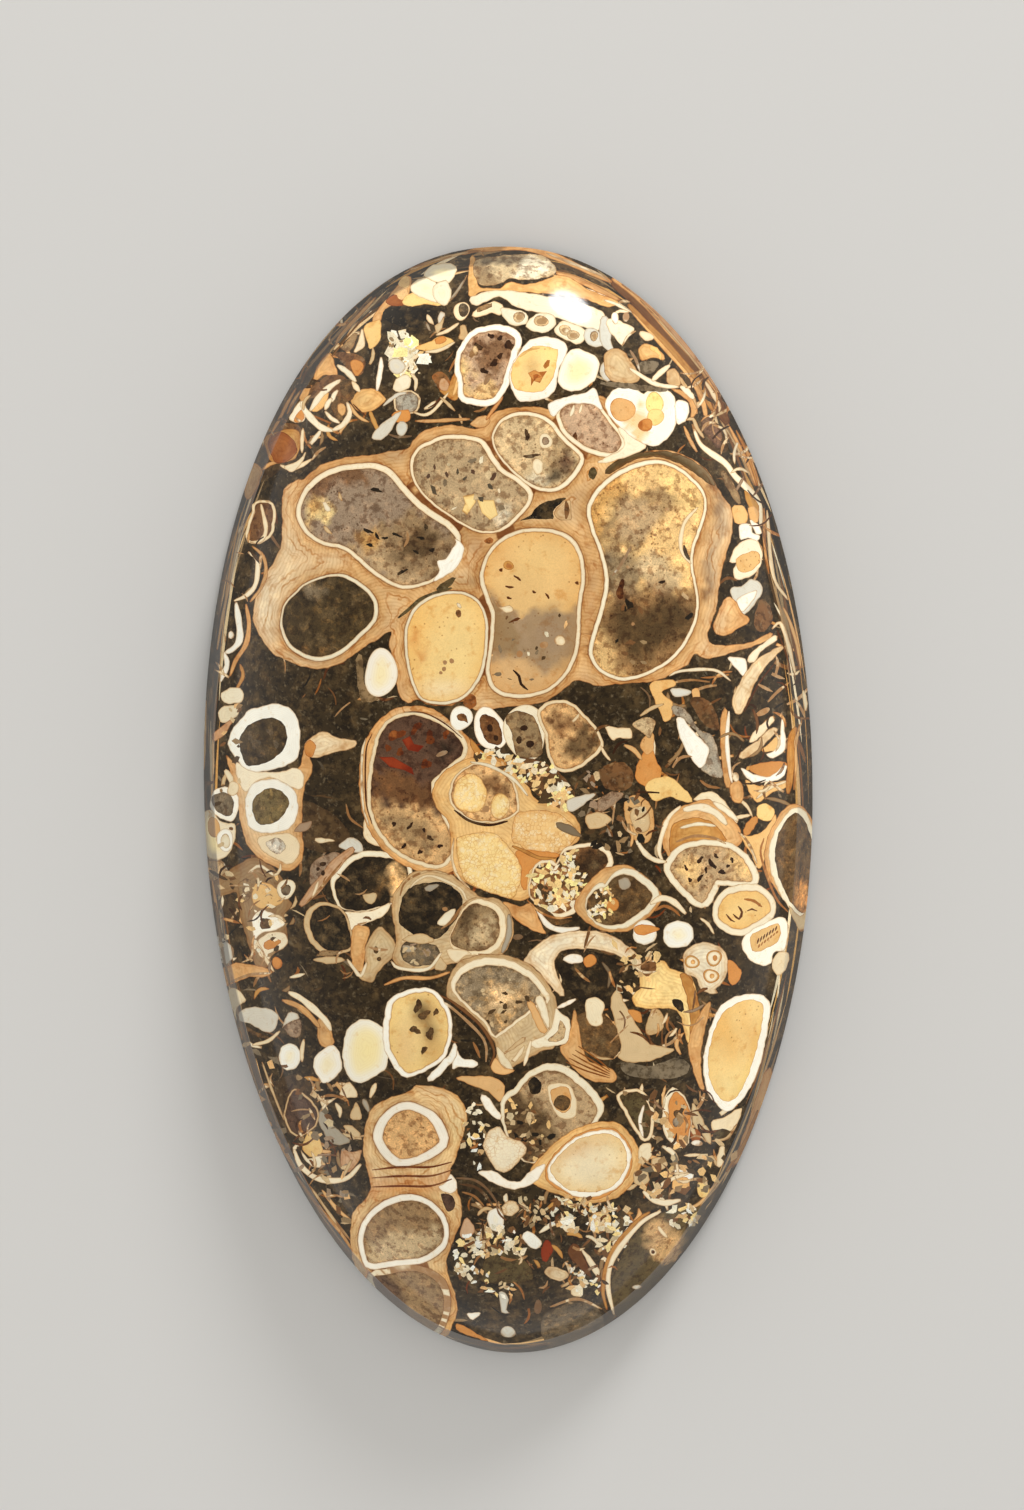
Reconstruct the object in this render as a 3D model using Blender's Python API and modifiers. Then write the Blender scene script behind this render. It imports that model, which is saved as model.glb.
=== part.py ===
"""Turritella agate cabochon: one polished stone, lying on its flat back with its dome up.

Metres, +Z up. The long axis runs along Y and the back rests on z = 0, with the origin under
the middle of the stone's box. The stone is turned as a round one and then stretched to its oval,
as a lapidary's template would give it.
"""

import math

import bpy

MM = 0.001

STONE_LENGTH = 53.0 * MM
STONE_WIDTH = 29.0 * MM
STONE_HEIGHT = 6.5 * MM

# The side leans in from the widest line up to the ridge where the dome starts.
BACK_BEVEL = 0.45 * MM
RIDGE_HEIGHT = 2.3 * MM
RIDGE_INSET = 0.75 * MM
DOME_POWER = 3.6
DOME_RINGS = 14
SIDE_RINGS = 2
BACK_RINGS = 3

# The oval is a little fuller at its upper end, and its long axis leans a little.
UPPER_FULLNESS = 2.1
LOWER_FULLNESS = 1.98
UPPER_SPREAD = 0.02
AXIS_LEAN = math.radians(0.8)

# Rings near the edge keep an even distance from it. Nearer the middle they close to a point.
EVEN_INSET = 0.8

AROUND = 96
MERGE_DISTANCE = 0.000001
POLISHED_COLOUR = (0.30, 0.22, 0.14, 1.0)
POLISHED_ROUGHNESS = 0.12
SHARP_ANGLE = math.radians(30)


def clear_scene():
    for thing in list(bpy.data.objects):
        bpy.data.objects.remove(thing)


def new_collection(name):
    collection = bpy.data.collections.new(name)
    bpy.context.scene.collection.children.link(collection)
    return collection


def polished_agate():
    material = bpy.data.materials.new("polished_agate")
    material.use_nodes = True
    shader = material.node_tree.nodes["Principled BSDF"]
    shader.inputs["Base Color"].default_value = POLISHED_COLOUR
    shader.inputs["Roughness"].default_value = POLISHED_ROUGHNESS
    shader.inputs["Metallic"].default_value = 0.0
    return material


def stone_profile():
    """The stone's half section as (radius, height), from the top of the dome to the middle of the back."""
    half_width = STONE_WIDTH / 2
    ridge_radius = half_width - RIDGE_INSET
    dome_rise = STONE_HEIGHT - RIDGE_HEIGHT
    points = []
    for ring in range(DOME_RINGS + 1):
        # Rings crowd towards the ridge, where the dome turns fastest.
        share = math.sin(math.pi / 2 * ring / DOME_RINGS)
        points.append((ridge_radius * share, RIDGE_HEIGHT + dome_rise * (1 - share**DOME_POWER)))
    for ring in range(1, SIDE_RINGS + 1):
        down = ring / SIDE_RINGS
        points.append(
            (
                ridge_radius + RIDGE_INSET * down,
                RIDGE_HEIGHT + (BACK_BEVEL - RIDGE_HEIGHT) * down,
            )
        )
    for ring in range(BACK_RINGS + 1):
        points.append(((half_width - BACK_BEVEL) * (1 - ring / BACK_RINGS), 0.0))
    return points


def turned_mesh(name, points):
    """A closed round mesh, turned about Z from the profile by a Screw modifier."""
    section = bpy.data.meshes.new(name + "_profile")
    edges = [(i, i + 1) for i in range(len(points) - 1)]
    section.from_pydata([(radius, 0.0, height) for radius, height in points], edges, [])
    turned = bpy.data.objects.new(name + "_profile", section)
    bpy.context.scene.collection.objects.link(turned)
    screw = turned.modifiers.new("turn", "SCREW")
    screw.axis = "Z"
    screw.angle = math.tau
    screw.steps = AROUND
    screw.render_steps = AROUND
    screw.use_merge_vertices = True
    screw.merge_threshold = MERGE_DISTANCE
    bpy.context.view_layer.update()
    graph = bpy.context.evaluated_depsgraph_get()
    mesh = bpy.data.meshes.new_from_object(turned.evaluated_get(graph))
    mesh.name = name
    bpy.data.objects.remove(turned)
    return mesh


def oval_point(x, y):
    """Where a point of the round stone goes on the oval one."""
    half_width = STONE_WIDTH / 2
    half_length = STONE_LENGTH / 2
    reach = math.hypot(x, y) / half_width
    if reach == 0.0:
        return 0.0, 0.0
    across = x / (reach * half_width)
    along = y / (reach * half_width)
    fullness = 2 / (UPPER_FULLNESS if along > 0 else LOWER_FULLNESS)
    longer = half_length + EVEN_INSET * (half_length - half_width) * (1 - reach)
    wide = half_width * reach * math.copysign(abs(across) ** fullness, across)
    high = longer * reach * math.copysign(abs(along) ** fullness, along)
    wide *= 1 + UPPER_SPREAD * high / half_length
    return (
        wide * math.cos(AXIS_LEAN) - high * math.sin(AXIS_LEAN),
        wide * math.sin(AXIS_LEAN) + high * math.cos(AXIS_LEAN),
    )


def stretch_to_oval(mesh):
    """Moves every point of the turned stone to the oval, then sets its box's middle over the origin."""
    for vertex in mesh.vertices:
        vertex.co.x, vertex.co.y = oval_point(vertex.co.x, vertex.co.y)
    middle_x = (min(v.co.x for v in mesh.vertices) + max(v.co.x for v in mesh.vertices)) / 2
    middle_y = (min(v.co.y for v in mesh.vertices) + max(v.co.y for v in mesh.vertices)) / 2
    for vertex in mesh.vertices:
        vertex.co.x -= middle_x
        vertex.co.y -= middle_y


def build_stone(collection):
    mesh = turned_mesh("agate_stone", stone_profile())
    stretch_to_oval(mesh)
    mesh.materials.clear()
    mesh.materials.append(polished_agate())
    mesh.shade_smooth()
    mesh.set_sharp_from_angle(angle=SHARP_ANGLE)
    stone = bpy.data.objects.new("agate_stone", mesh)
    collection.objects.link(stone)


clear_scene()
build_stone(new_collection("turritella_agate_cabochon"))
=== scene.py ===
import math
import random
import bpy
import numpy as np
from mathutils import Matrix, Vector
from mathutils.geometry import delaunay_2d_cdt


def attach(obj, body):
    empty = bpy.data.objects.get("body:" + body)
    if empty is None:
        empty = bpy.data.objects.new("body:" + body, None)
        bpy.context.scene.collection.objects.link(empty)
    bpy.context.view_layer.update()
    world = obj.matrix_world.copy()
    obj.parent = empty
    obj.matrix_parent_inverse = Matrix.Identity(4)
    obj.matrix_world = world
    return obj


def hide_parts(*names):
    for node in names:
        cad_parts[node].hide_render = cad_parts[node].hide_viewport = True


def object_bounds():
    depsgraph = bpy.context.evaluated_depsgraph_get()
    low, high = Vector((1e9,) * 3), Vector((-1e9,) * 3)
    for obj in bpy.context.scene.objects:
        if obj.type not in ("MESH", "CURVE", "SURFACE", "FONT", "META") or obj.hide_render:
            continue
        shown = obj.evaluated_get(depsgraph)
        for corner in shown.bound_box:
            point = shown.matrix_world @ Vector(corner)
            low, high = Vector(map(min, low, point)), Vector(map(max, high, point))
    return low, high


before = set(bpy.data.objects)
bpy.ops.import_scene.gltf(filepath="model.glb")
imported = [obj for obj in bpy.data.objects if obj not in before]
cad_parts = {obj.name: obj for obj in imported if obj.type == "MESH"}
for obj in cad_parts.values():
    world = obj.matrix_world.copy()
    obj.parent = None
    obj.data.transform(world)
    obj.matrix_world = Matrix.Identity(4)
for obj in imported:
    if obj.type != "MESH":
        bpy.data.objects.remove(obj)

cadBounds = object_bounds()
mm = 0.001
print("frame loaded", [[round(v / mm, 2) for v in corner] for corner in cadBounds])

# The stone's form, in millimetres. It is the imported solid's own form, drawn with far more points.
stone = {
    "length": 53.0,
    "width": 29.0,
    "height": 6.5,
    "ridgeHeight": 2.3,
    "ridgeInset": 0.75,
    "backBevel": 0.45,
    "domePower": 3.6,
    "upperFullness": 2.1,
    "lowerFullness": 1.98,
    "upperSpread": 0.02,
    "evenInset": 0.8,
    "lean": math.radians(0.8),
    "splinters": 300,        # thin slips of shell in the dark ground
    "slips": 190,            # curved slips of shell all over the face
    "edgeStreaks": 270,      # cut layers of shell along the steep side
    "ringPoints": 760,       # points along the widest line
    "ridgePoints": 620,
    "sideRings": (0.9, 0.925, 0.966, 0.984),     # lines that keep the steep side's form
    "sidePoints": 520,
    "gridStep": 0.3,         # the loose points between the markings
    "gridReach": 0.89,
    "gridClear": 0.11,
}

# The photograph's view of it, for placing the markings. The picture is 1024 by 1510 pixels.
view = {
    "frameWide": 1024,
    "frameHigh": 1510,
    "lens": 100.0,
    "sensor": 36.0,
    "distance": 196.8,
    "tiltUp": math.radians(6.0),
    "tiltRight": math.radians(3.5),
    "aim": (0.40, 2.77, 3.0),
    "stoneMiddle": (508, 800),
}


def readPaint(red, green, blue):
    # the palette is written in screen values, and the shader wants linear ones
    def linear(value):
        share = value / 255
        return share / 12.92 if share <= 0.04045 else ((share + 0.055) / 1.055) ** 2.4
    return (linear(red), linear(green), linear(blue))


halfWide = stone["width"] / 2
halfLong = stone["length"] / 2
ridgeShare = (halfWide - stone["ridgeInset"]) / halfWide


def placeOnOval(share, across, along):
    # share is 1 on the widest line and 0 in the middle
    fullness = np.where(along > 0, 2 / stone["upperFullness"], 2 / stone["lowerFullness"])
    longer = halfLong + stone["evenInset"] * (halfLong - halfWide) * (1 - share)
    wide = halfWide * share * np.sign(across) * np.abs(across) ** fullness
    high = longer * share * np.sign(along) * np.abs(along) ** fullness
    wide = wide * (1 + stone["upperSpread"] * high / halfLong)
    lean = stone["lean"]
    return wide * math.cos(lean) - high * math.sin(lean), wide * math.sin(lean) + high * math.cos(lean)


def ringOfStone(share, count):
    turn = np.linspace(0, 2 * math.pi, count, endpoint=False)
    x, y = placeOnOval(share, np.cos(turn), np.sin(turn))
    return (x - middle[0]) * fit[0], (y - middle[1]) * fit[1]


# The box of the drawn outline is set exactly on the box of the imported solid.
outlineX, outlineY = placeOnOval(1.0, np.cos(np.linspace(0, 2 * math.pi, 2880)),
                                 np.sin(np.linspace(0, 2 * math.pi, 2880)))
middle = ((outlineX.max() + outlineX.min()) / 2, (outlineY.max() + outlineY.min()) / 2)
fit = ((cadBounds[1][0] - cadBounds[0][0]) / mm / (outlineX.max() - outlineX.min()),
       (cadBounds[1][1] - cadBounds[0][1]) / mm / (outlineY.max() - outlineY.min()))


def shareAt(x, y):
    # the other way round: how far out a point of the plan lies
    x = np.asarray(x, float) / fit[0] + middle[0]
    y = np.asarray(y, float) / fit[1] + middle[1]
    lean = stone["lean"]
    high = np.abs(-x * math.sin(lean) + y * math.cos(lean))
    upper = (-x * math.sin(lean) + y * math.cos(lean)) > 0
    wide = np.abs(x * math.cos(lean) + y * math.sin(lean))
    wide = wide / (1 + stone["upperSpread"] * np.where(upper, high, -high) / halfLong)
    power = np.where(upper, stone["upperFullness"], stone["lowerFullness"])
    low = np.full(x.shape, 0.00001)
    top = np.full(x.shape, 1.45)
    for _ in range(26):      # halved so often that the share is exact
        share = (low + top) / 2
        longer = halfLong + stone["evenInset"] * (halfLong - halfWide) * (1 - share)
        outside = (wide / (halfWide * share)) ** power + (high / (longer * share)) ** power > 1
        low = np.where(outside, share, low)
        top = np.where(outside, top, share)
    return (low + top) / 2


def heightAt(x, y):
    share = shareAt(x, y)
    dome = stone["ridgeHeight"] + (stone["height"] - stone["ridgeHeight"]) * (
        1 - np.minimum(share / ridgeShare, 1) ** stone["domePower"])
    side = stone["ridgeHeight"] + (stone["backBevel"] - stone["ridgeHeight"]) * (
        (share - ridgeShare) / (1 - ridgeShare))
    return np.where(share <= ridgeShare, dome, np.maximum(side, 0))


# The camera's own axes, and the way from a pixel to the stone under it
toCamera = np.array([math.sin(view["tiltRight"]), math.sin(view["tiltUp"]), 0.0])
toCamera[2] = math.sqrt(1 - toCamera[0] ** 2 - toCamera[1] ** 2)
viewRight = np.cross([0, 1, 0], toCamera)
viewRight = viewRight / np.linalg.norm(viewRight)
viewUp = np.cross(toCamera, viewRight)
cameraPlace = np.array(view["aim"]) + toCamera * view["distance"]
pixelStep = view["sensor"] / (view["frameHigh"] * view["lens"])


def pixelToPlan(pixels):
    pixels = np.asarray(pixels, float)
    right = (pixels[:, 0] - view["frameWide"] / 2) * pixelStep
    up = (view["frameHigh"] / 2 - pixels[:, 1]) * pixelStep
    way = -toCamera + right[:, None] * viewRight + up[:, None] * viewUp
    height = np.full(len(pixels), stone["height"])
    for _ in range(9):       # the height settles after a few rounds
        reach = (height - cameraPlace[2]) / way[:, 2]
        place = cameraPlace + way * reach[:, None]
        height = (height + 2 * heightAt(place[:, 0], place[:, 1])) / 3
    return place[:, :2]


def planToPixel(x, y, z):
    away = np.stack([x, y, z], 1) - cameraPlace
    deep = -away @ toCamera
    return np.stack([away @ viewRight / deep / pixelStep + view["frameWide"] / 2,
                     view["frameHigh"] / 2 - away @ viewUp / deep / pixelStep], 1)


ringX, ringY = ringOfStone(1.0, 720)
seen = planToPixel(ringX, ringY, np.full(720, stone["backBevel"]))
print("outline in the picture", seen.min(0).round(1), seen.max(0).round(1))
ridgeX, ridgeY = ringOfStone(ridgeShare, 720)
seen = planToPixel(ridgeX, ridgeY, np.full(720, stone["ridgeHeight"]))
print("ridge in the picture", seen.min(0).round(1), seen.max(0).round(1))

# Screen values of the stone's colours
paints = {
    "black": (32, 24, 12), "ground": (54, 41, 21), "umber": (80, 58, 32), "brown": (120, 80, 44),
    "rust": (160, 94, 42), "red": (150, 58, 24), "orange": (216, 150, 80), "ochre": (204, 152, 82),
    "tan": (226, 180, 120), "honey": (238, 195, 128), "amber": (241, 202, 130), "gold": (249, 217, 146),
    "marigold": (238, 180, 92),
    "yellow": (253, 231, 152), "ivory": (238, 219, 180), "cream": (243, 229, 196), "white": (250, 243, 224),
    "paleGrey": (214, 207, 188), "grey": (170, 158, 136), "smoke": (126, 108, 82), "slate": (84, 72, 54),
    "mauve": (160, 134, 106), "pinkTan": (206, 168, 130), "beige": (212, 184, 138), "mud": (196, 164, 120),
    "dun": (154, 124, 84), "plum": (92, 66, 48), "olive": (92, 76, 44),
}
paints = {name: readPaint(*value) for name, value in paints.items()}


def readPoints(points):
    # an outline may be typed as text, "x,y x,y x,y", in pixels of the picture
    if isinstance(points, str):
        points = [pair.split(",") for pair in points.split()]
    return np.array(points, dtype=float)


def smoothLoop(points, step=3.2):
    # a rounded closed line through the points
    points = readPoints(points)
    count = len(points)
    out = []
    for i in range(count):
        a, b, c, d = points[i - 1], points[i], points[(i + 1) % count], points[(i + 2) % count]
        parts = max(1, int(np.hypot(*(c - b)) / step + 0.5))
        for k in range(parts):
            t = k / parts
            out.append(0.5 * (2 * b + (c - a) * t + (2 * a - 5 * b + 4 * c - d) * t * t
                              + (3 * b - a - 3 * c + d) * t ** 3))
    return np.array(out)


def smoothLine(points, step=3.8):
    points = readPoints(points)
    if len(points) < 3:
        points = np.array([points[0], (points[0] + points[1]) / 2, points[1]])
    held = np.vstack([2 * points[0] - points[1], points, 2 * points[-1] - points[-2]])
    out = []
    for i in range(1, len(held) - 2):
        a, b, c, d = held[i - 1:i + 3]
        parts = max(1, int(np.hypot(*(c - b)) / step + 0.5))
        for k in range(parts):
            t = k / parts
            out.append(0.5 * (2 * b + (c - a) * t + (2 * a - 5 * b + 4 * c - d) * t * t
                              + (3 * b - a - 3 * c + d) * t ** 3))
    out.append(points[-1])
    return np.array(out)


def spotFromMiddle(turn, share, wide, high):
    # a pixel of the face, at a share of the way out from the stone's middle
    x, y = view["stoneMiddle"]
    return x + wide * share * math.cos(turn), y + high * share * math.sin(turn)


def outwards(points):
    # the way out at each point of a closed line that runs counter-clockwise
    along = np.roll(points, -1, 0) - np.roll(points, 1, 0)
    out = np.stack([along[:, 1], -along[:, 0]], 1)
    return out / np.maximum(np.hypot(out[:, 0], out[:, 1]), 1e-9)[:, None]


def areaOf(points):
    return 0.5 * np.sum(points[:, 0] * np.roll(points[:, 1], -1) - np.roll(points[:, 0], -1) * points[:, 1])


def unevenEdge(loop, size, seed):
    # a natural edge is never quite smooth. It waves with about these lengths in pixels
    way = np.concatenate([[0], np.cumsum(np.hypot(*np.diff(loop, axis=0).T))])
    whole = way[-1] + np.hypot(*(loop[0] - loop[-1]))
    push = sum(size * np.sin(2 * math.pi * max(1, round(whole / wave)) * way / whole + seed * wave)
               for wave in (9, 14, 23))
    return loop + outwards(loop) * push[:, None]


marks = []     # every drawn shape, the lowest first
flowLines = []     # the whorls that the layers of shell run round
stains = []        # soft patches of colour inside a named shape
midLines = []      # lines down the middle of thin shapes, where the shade of their edges ends


def addMark(points, finish, paint, name="", within="", vary=0.05):
    if areaOf(points) < 0:
        points = points[::-1]
    marks.append({"points": points, "finish": finish, "paint": paint, "name": name, "within": within,
                  "vary": vary, "holds": False})
    return marks[-1]


def stain(paint, points, within, strength=0.85, soft=0.3):
    # a soft patch of another colour inside a named shape. soft is the width of its edge in millimetres
    stains.append({"points": smoothLoop(points, 5), "paint": paint, "within": within, "strength": strength,
                   "soft": soft})


def blob(finish, paint, points, wall=0, wallPaint="cream", thick=(0, 0), name="", within="", sharp=False,
         flow=False, vary=0.05):
    # a closed shape. A wall goes round it, thicker towards the side that thick names, up being positive
    loop = readPoints(points) if sharp else smoothLoop(points)
    if areaOf(loop) < 0:
        loop = loop[::-1]
    if not sharp:
        loop = unevenEdge(loop, 0.1 if flow else 0.25, len(marks))
    if finish not in ("ground", "dark", "crumb") and not sharp:
        midLines.append(((loop - outwards(loop) * 1.9)[::2], True))
    if wall:
        out = outwards(loop)
        seed = len(marks) * 1.7
        turn = np.arctan2(out[:, 1], out[:, 0])
        reach = wall * (1 + 0.1 * np.sin(2 * turn + seed) + 0.05 * np.sin(5 * turn + seed * 2)
                        + thick[0] * out[:, 0] - thick[1] * out[:, 1])
        addMark(loop + out * reach[:, None], "wall", wallPaint, name + "Wall", within)["holds"] = True
        midLines.append(((loop + out * (reach / 2)[:, None])[::1 if flow else 2], True))
        if flow:
            flowLines.append(loop + out * reach[:, None])
    addMark(loop, finish, paint, name, within, vary)


def oval(finish, paint, x, y, wide, high, turn=0, **more):
    # small spots inside a filling are less even than rings of shell
    uneven = 0.3 if "within" in more else 0.07
    count = max(8, int((wide + high) * 1.2))
    step = np.linspace(0, 2 * math.pi, count, endpoint=False)
    angle = math.radians(turn)
    swell = 1 + uneven * (np.sin(2 * step + x) + 0.7 * np.sin(3 * step + y))
    across, down = wide * swell * np.cos(step), high * swell * np.sin(step)
    points = np.stack([x + across * math.cos(angle) + down * math.sin(angle),
                       y - across * math.sin(angle) + down * math.cos(angle)], 1)
    blob(finish, paint, points, sharp=True, **more)


def band(finish, paint, points, width, ends=(0.35, 0.35), within=""):
    # an open line with a width, thinner at its ends
    line = smoothLine(points)
    along = np.gradient(line, axis=0)
    across = np.stack([-along[:, 1], along[:, 0]], 1)
    across /= np.maximum(np.hypot(across[:, 0], across[:, 1]), 1e-9)[:, None]
    share = np.linspace(0, 1, len(line))
    body = np.sin(math.pi * np.clip(share, 0.0, 1.0)) ** 0.5
    start, end = ends[0] * (1 - share), ends[1] * share
    half = width / 2 * (start + end + (1 - start - end) * body)
    half = half * (1 + 0.10 * np.sin(share * 17 + width + line[0, 0]))
    if width > 3.2:
        midLines.append((line, False))
    points = np.vstack([line + across * half[:, None], (line - across * half[:, None])[::-1]])
    addMark(points, finish, paint, "", within)


def crumbs(zone, count, size, choices, seed, long=1.6, within=""):
    # broken bits of shell, scattered over a zone
    pick = random.Random(seed)
    zone = smoothLoop(zone, 8)
    low, high = zone.min(0), zone.max(0)
    made = 0
    for _ in range(count * 6):
        x, y = pick.uniform(low[0], high[0]), pick.uniform(low[1], high[1])
        if not insideOf(zone, x, y):
            continue
        angle = pick.uniform(0, math.pi)
        reach = pick.uniform(*size) * 1.25
        slim = pick.uniform(1.0, long)
        corners = pick.randint(4, 6)
        points = []
        for k in range(corners):
            turn = 2 * math.pi * (k + pick.uniform(-0.3, 0.3)) / corners
            push = reach * pick.uniform(0.7, 1.15)
            u, v = push * math.cos(turn) * slim, push * math.sin(turn) / slim
            points.append((x + u * math.cos(angle) - v * math.sin(angle),
                           y + u * math.sin(angle) + v * math.cos(angle)))
        addMark(np.array(points), "crumb", pick.choice(choices), "", within, 0.10)
        made += 1
        if made >= count:
            break


def insideOf(zone, x, y):
    inside = False
    for a, b in zip(zone, np.roll(zone, -1, 0)):
        if (a[1] > y) != (b[1] > y) and x < (b[0] - a[0]) * (y - a[1]) / (b[1] - a[1]) + a[0]:
            inside = not inside
    return inside


def curls(zone, count, size, choices, seed, slim):
    # curved slips of broken shell
    pick = random.Random(seed)
    zone = readPoints(zone)
    low, high = zone.min(0), zone.max(0)
    made = 0
    while made < count:
        x, y = pick.uniform(low[0], high[0]), pick.uniform(low[1], high[1])
        if not insideOf(zone, x, y):
            continue
        angle, long = pick.uniform(0, 2 * math.pi), pick.uniform(*size)
        bend = pick.uniform(-0.55, 0.55) * long
        points = []
        for u in (-1, -0.33, 0.33, 1):
            across = bend * (1 - u * u)
            points.append((x + u * long * math.cos(angle) - across * math.sin(angle),
                           y + u * long * math.sin(angle) + across * math.cos(angle)))
        band("wall", pick.choice(choices), points, pick.uniform(*slim) * 1.6, (pick.uniform(0.1, 0.9), 0.2))
        made += 1


def splinters(count, choices, seed):
    # thin slips of shell lie everywhere in the dark ground
    pick = random.Random(seed)
    for _ in range(count):
        turn, share = pick.uniform(0, 2 * math.pi), math.sqrt(pick.random())
        x, y = spotFromMiddle(turn, share, 298, 545)
        angle = pick.gauss(0.5, 1.1)
        long, slim = pick.uniform(2.5, 10), pick.uniform(0.5, 1.5)
        bend = pick.uniform(-0.25, 0.25) * long
        points = []
        for u, v in ((-1, 0), (-0.4, -1), (0.5, -0.8), (1, 0.1), (0.4, 1), (-0.5, 0.8)):
            across = v * slim + bend * (1 - u * u)
            points.append((x + u * long * math.cos(angle) - across * math.sin(angle),
                           y + u * long * math.sin(angle) + across * math.cos(angle)))
        addMark(np.array(points), "crumb", pick.choice(choices), "", "", 0.12)


def edgeStreaks(count, choices, seed):
    # shell layers cut by the steep side show as thin lines along it
    pick = random.Random(seed)
    for _ in range(count):
        share, turn = pick.uniform(0.94, 0.998), pick.uniform(0, 2 * math.pi)
        long, slim = pick.uniform(0.02, 0.14), pick.uniform(0.0012, 0.005)
        drift = pick.uniform(-0.012, 0.012)
        points = []
        for sign in (1, -1):
            for k in range(7):
                t = sign * (k / 3 - 1)
                at = turn + t * long
                points.append((share + drift * t + sign * slim * (1.15 - t * t), at))
        shares, turns = np.array(points).T
        if shares.max() > 0.999:
            continue
        x, y = placeOnOval(shares, np.cos(turns), np.sin(turns))
        plan = np.stack([(x - middle[0]) * fit[0], (y - middle[1]) * fit[1]], 1)
        addMark(plan, "crumb", pick.choice(choices), "", "", 0.15)["plan"] = plan


# The markings, in pixels of the picture, the lowest first.
# Splinters and grit in the dark ground
splinters(stone["splinters"],
          ("dun", "brown", "mud", "beige", "umber", "umber", "brown", "black", "slate", "smoke"), 11)
wholeFace = [spotFromMiddle(0.5 * k, 1, 290, 530) for k in range(13)]
curls(wholeFace, stone["slips"], (4, 14),
      ("dun", "ochre", "tan", "beige", "ivory", "brown", "rust", "grey"), 14, (0.8, 2.0))
shellPaints = ("cream", "ivory", "beige", "tan", "ochre", "dun")
for zone, count, size, seed in (
        ([(290, 330), (420, 275), (440, 330), (400, 420), (280, 450)], 34, (4, 12), 15),
        ([(640, 700), (800, 640), (805, 850), (700, 860), (650, 800)], 40, (5, 16), 16),
        ([(212, 860), (300, 850), (300, 1000), (240, 1060), (215, 960)], 30, (4, 11), 17),
        ([(600, 1090), (740, 1080), (720, 1160), (640, 1240), (600, 1200)], 46, (4, 13), 18),
        ([(260, 1070), (360, 1090), (350, 1230), (300, 1180)], 34, (4, 12), 19),
        ([(450, 1200), (600, 1190), (620, 1290), (480, 1300)], 44, (4, 11), 20),
        ([(590, 930), (700, 940), (720, 1060), (600, 1060)], 30, (4, 13), 21),
        ([(640, 270), (740, 330), (770, 470), (720, 440), (660, 340)], 30, (4, 12), 22)):
    curls(zone, count, size, shellPaints, seed, (1.2, 3.0))
edgeStreaks(stone["edgeStreaks"], ("tan", "dun", "dun", "beige", "brown", "brown", "umber", "black", "black",
                                   "ochre", "ivory"), 12)

# Broad stains in the ground
blob("ground", "umber", "250,480 262,430 330,345 300,420 280,470")
blob("ground", "brown", "268,441 280,425 299,426 300,448 290,461 270,458")
blob("lamina", "ochre", "264,440 275,432 298,430 299,452 290,461 272,462")
blob("ground", "umber", "660,300 700,330 730,380 720,400 690,370 660,340")
blob("ground", "umber", "296,800 330,812 350,835 340,850 310,850 296,830")
blob("ground", "umber", "270,1085 300,1075 318,1100 312,1135 290,1135 275,1110")

# The tan body of shell that holds the big whorls
blob("lamina", "tan", "282,498 286,487 296,480 304,479 311,472 323,464 339,459 355,456 372,455 385,452 "
    "399,450 408,448 413,441 420,433 435,427 455,425 475,429 484,425 489,416 500,410 520,407 540,407 "
    "552,409 560,402 572,396 590,396 606,398 618,418 630,440 618,459 639,453 659,450 676,452 692,459 "
    "706,469 716,484 722,495 731,507 733,522 731,539 727,552 723,567 720,582 718,597 716,611 713,619 "
    "709,630 708,638 712,644 723,645 741,644 756,640 770,632 772,637 760,644 748,648 731,653 714,658 "
    "703,658 695,654 688,664 675,672 655,681 620,684 600,686 590,684 577,680 567,687 556,695 547,701 "
    "529,705 517,706 500,708 481,710 473,709 465,702 457,703 448,706 430,705 417,700 408,703 400,697 "
    "397,686 397,669 392,656 389,645 391,632 385,634 377,640 366,646 355,654 345,661 331,667 317,669 "
    "304,667 290,662 279,657 271,652 263,641 255,627 253,618 255,600 263,578 271,566 280,548 282,530",
    name="body", vary=0)
blob("lamina", "olive", "605,470 619,459 639,453 659,451 676,453 692,460 706,470 716,485 706,482 690,470 "
    "670,460 650,457 630,462 610,474")
stain("brown", "712,480 722,496 727,512 723,530 716,550 712,575 708,600 703,600 706,575 709,550 "
    "716,530 719,512", "body")
blob("ground", "black", "520,521 529,516 537,507 548,501 566,498 560,504 553,511 553,519 542,519 531,519")
blob("lamina", "beige", "554,512 561,504 570,499 571,510 571,520 558,519")
band("ground", "brown", "566,501 567,510 566,519", 5)
blob("ground", "olive", "436,589 444,582 452,577 456,578 451,585 444,590")
band("ground", "olive", "398,618 408,610 420,600 438,592 452,588", 4)
blob("ground", "rust", "484,541 490,537 494,540 489,544")
blob("ground", "olive", "589,471 594,467 597,473 593,480 589,478")
blob("ground", "rust", "463,703 469,694 476,697 476,705 470,709")

# The eight big whorls
blob("mud", "mauve", "301,512 304,500 311,489 323,479 339,472 356,469.5 373,469 386,474 395,483 404,494 "
    "419,509 434,519.5 445,526.5 452,533 456,541 451,551 447,560 440,562 441,569 433,578 418,583.5 403,585 "
    "390,580 376,571 361,558 351,549.5 339,544 325,541.5 313,534.5 305,525", wall=5, thick=(0, 0.25),
    flow=True, name="bean")
blob("wall", "white", "454,538 460,541 464,549 461,561 452,572 440,579 433,581 439,570 437,561 445,559 "
    "450,552 456,543")
blob("mud", "mud", "413.5,469 414,460 420,450 430,445 442,440 454,439 468,440 479,443 485,451 491,461 "
    "500,472 513,480 522,487 528,495 525,505 517,514 507,524 496,530 487,531 476,529 462,522 450,514 "
    "437,505 426,495 419,486 415,478", wall=3.8, thick=(0.25, 0.25), flow=True, name="speckled")
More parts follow.
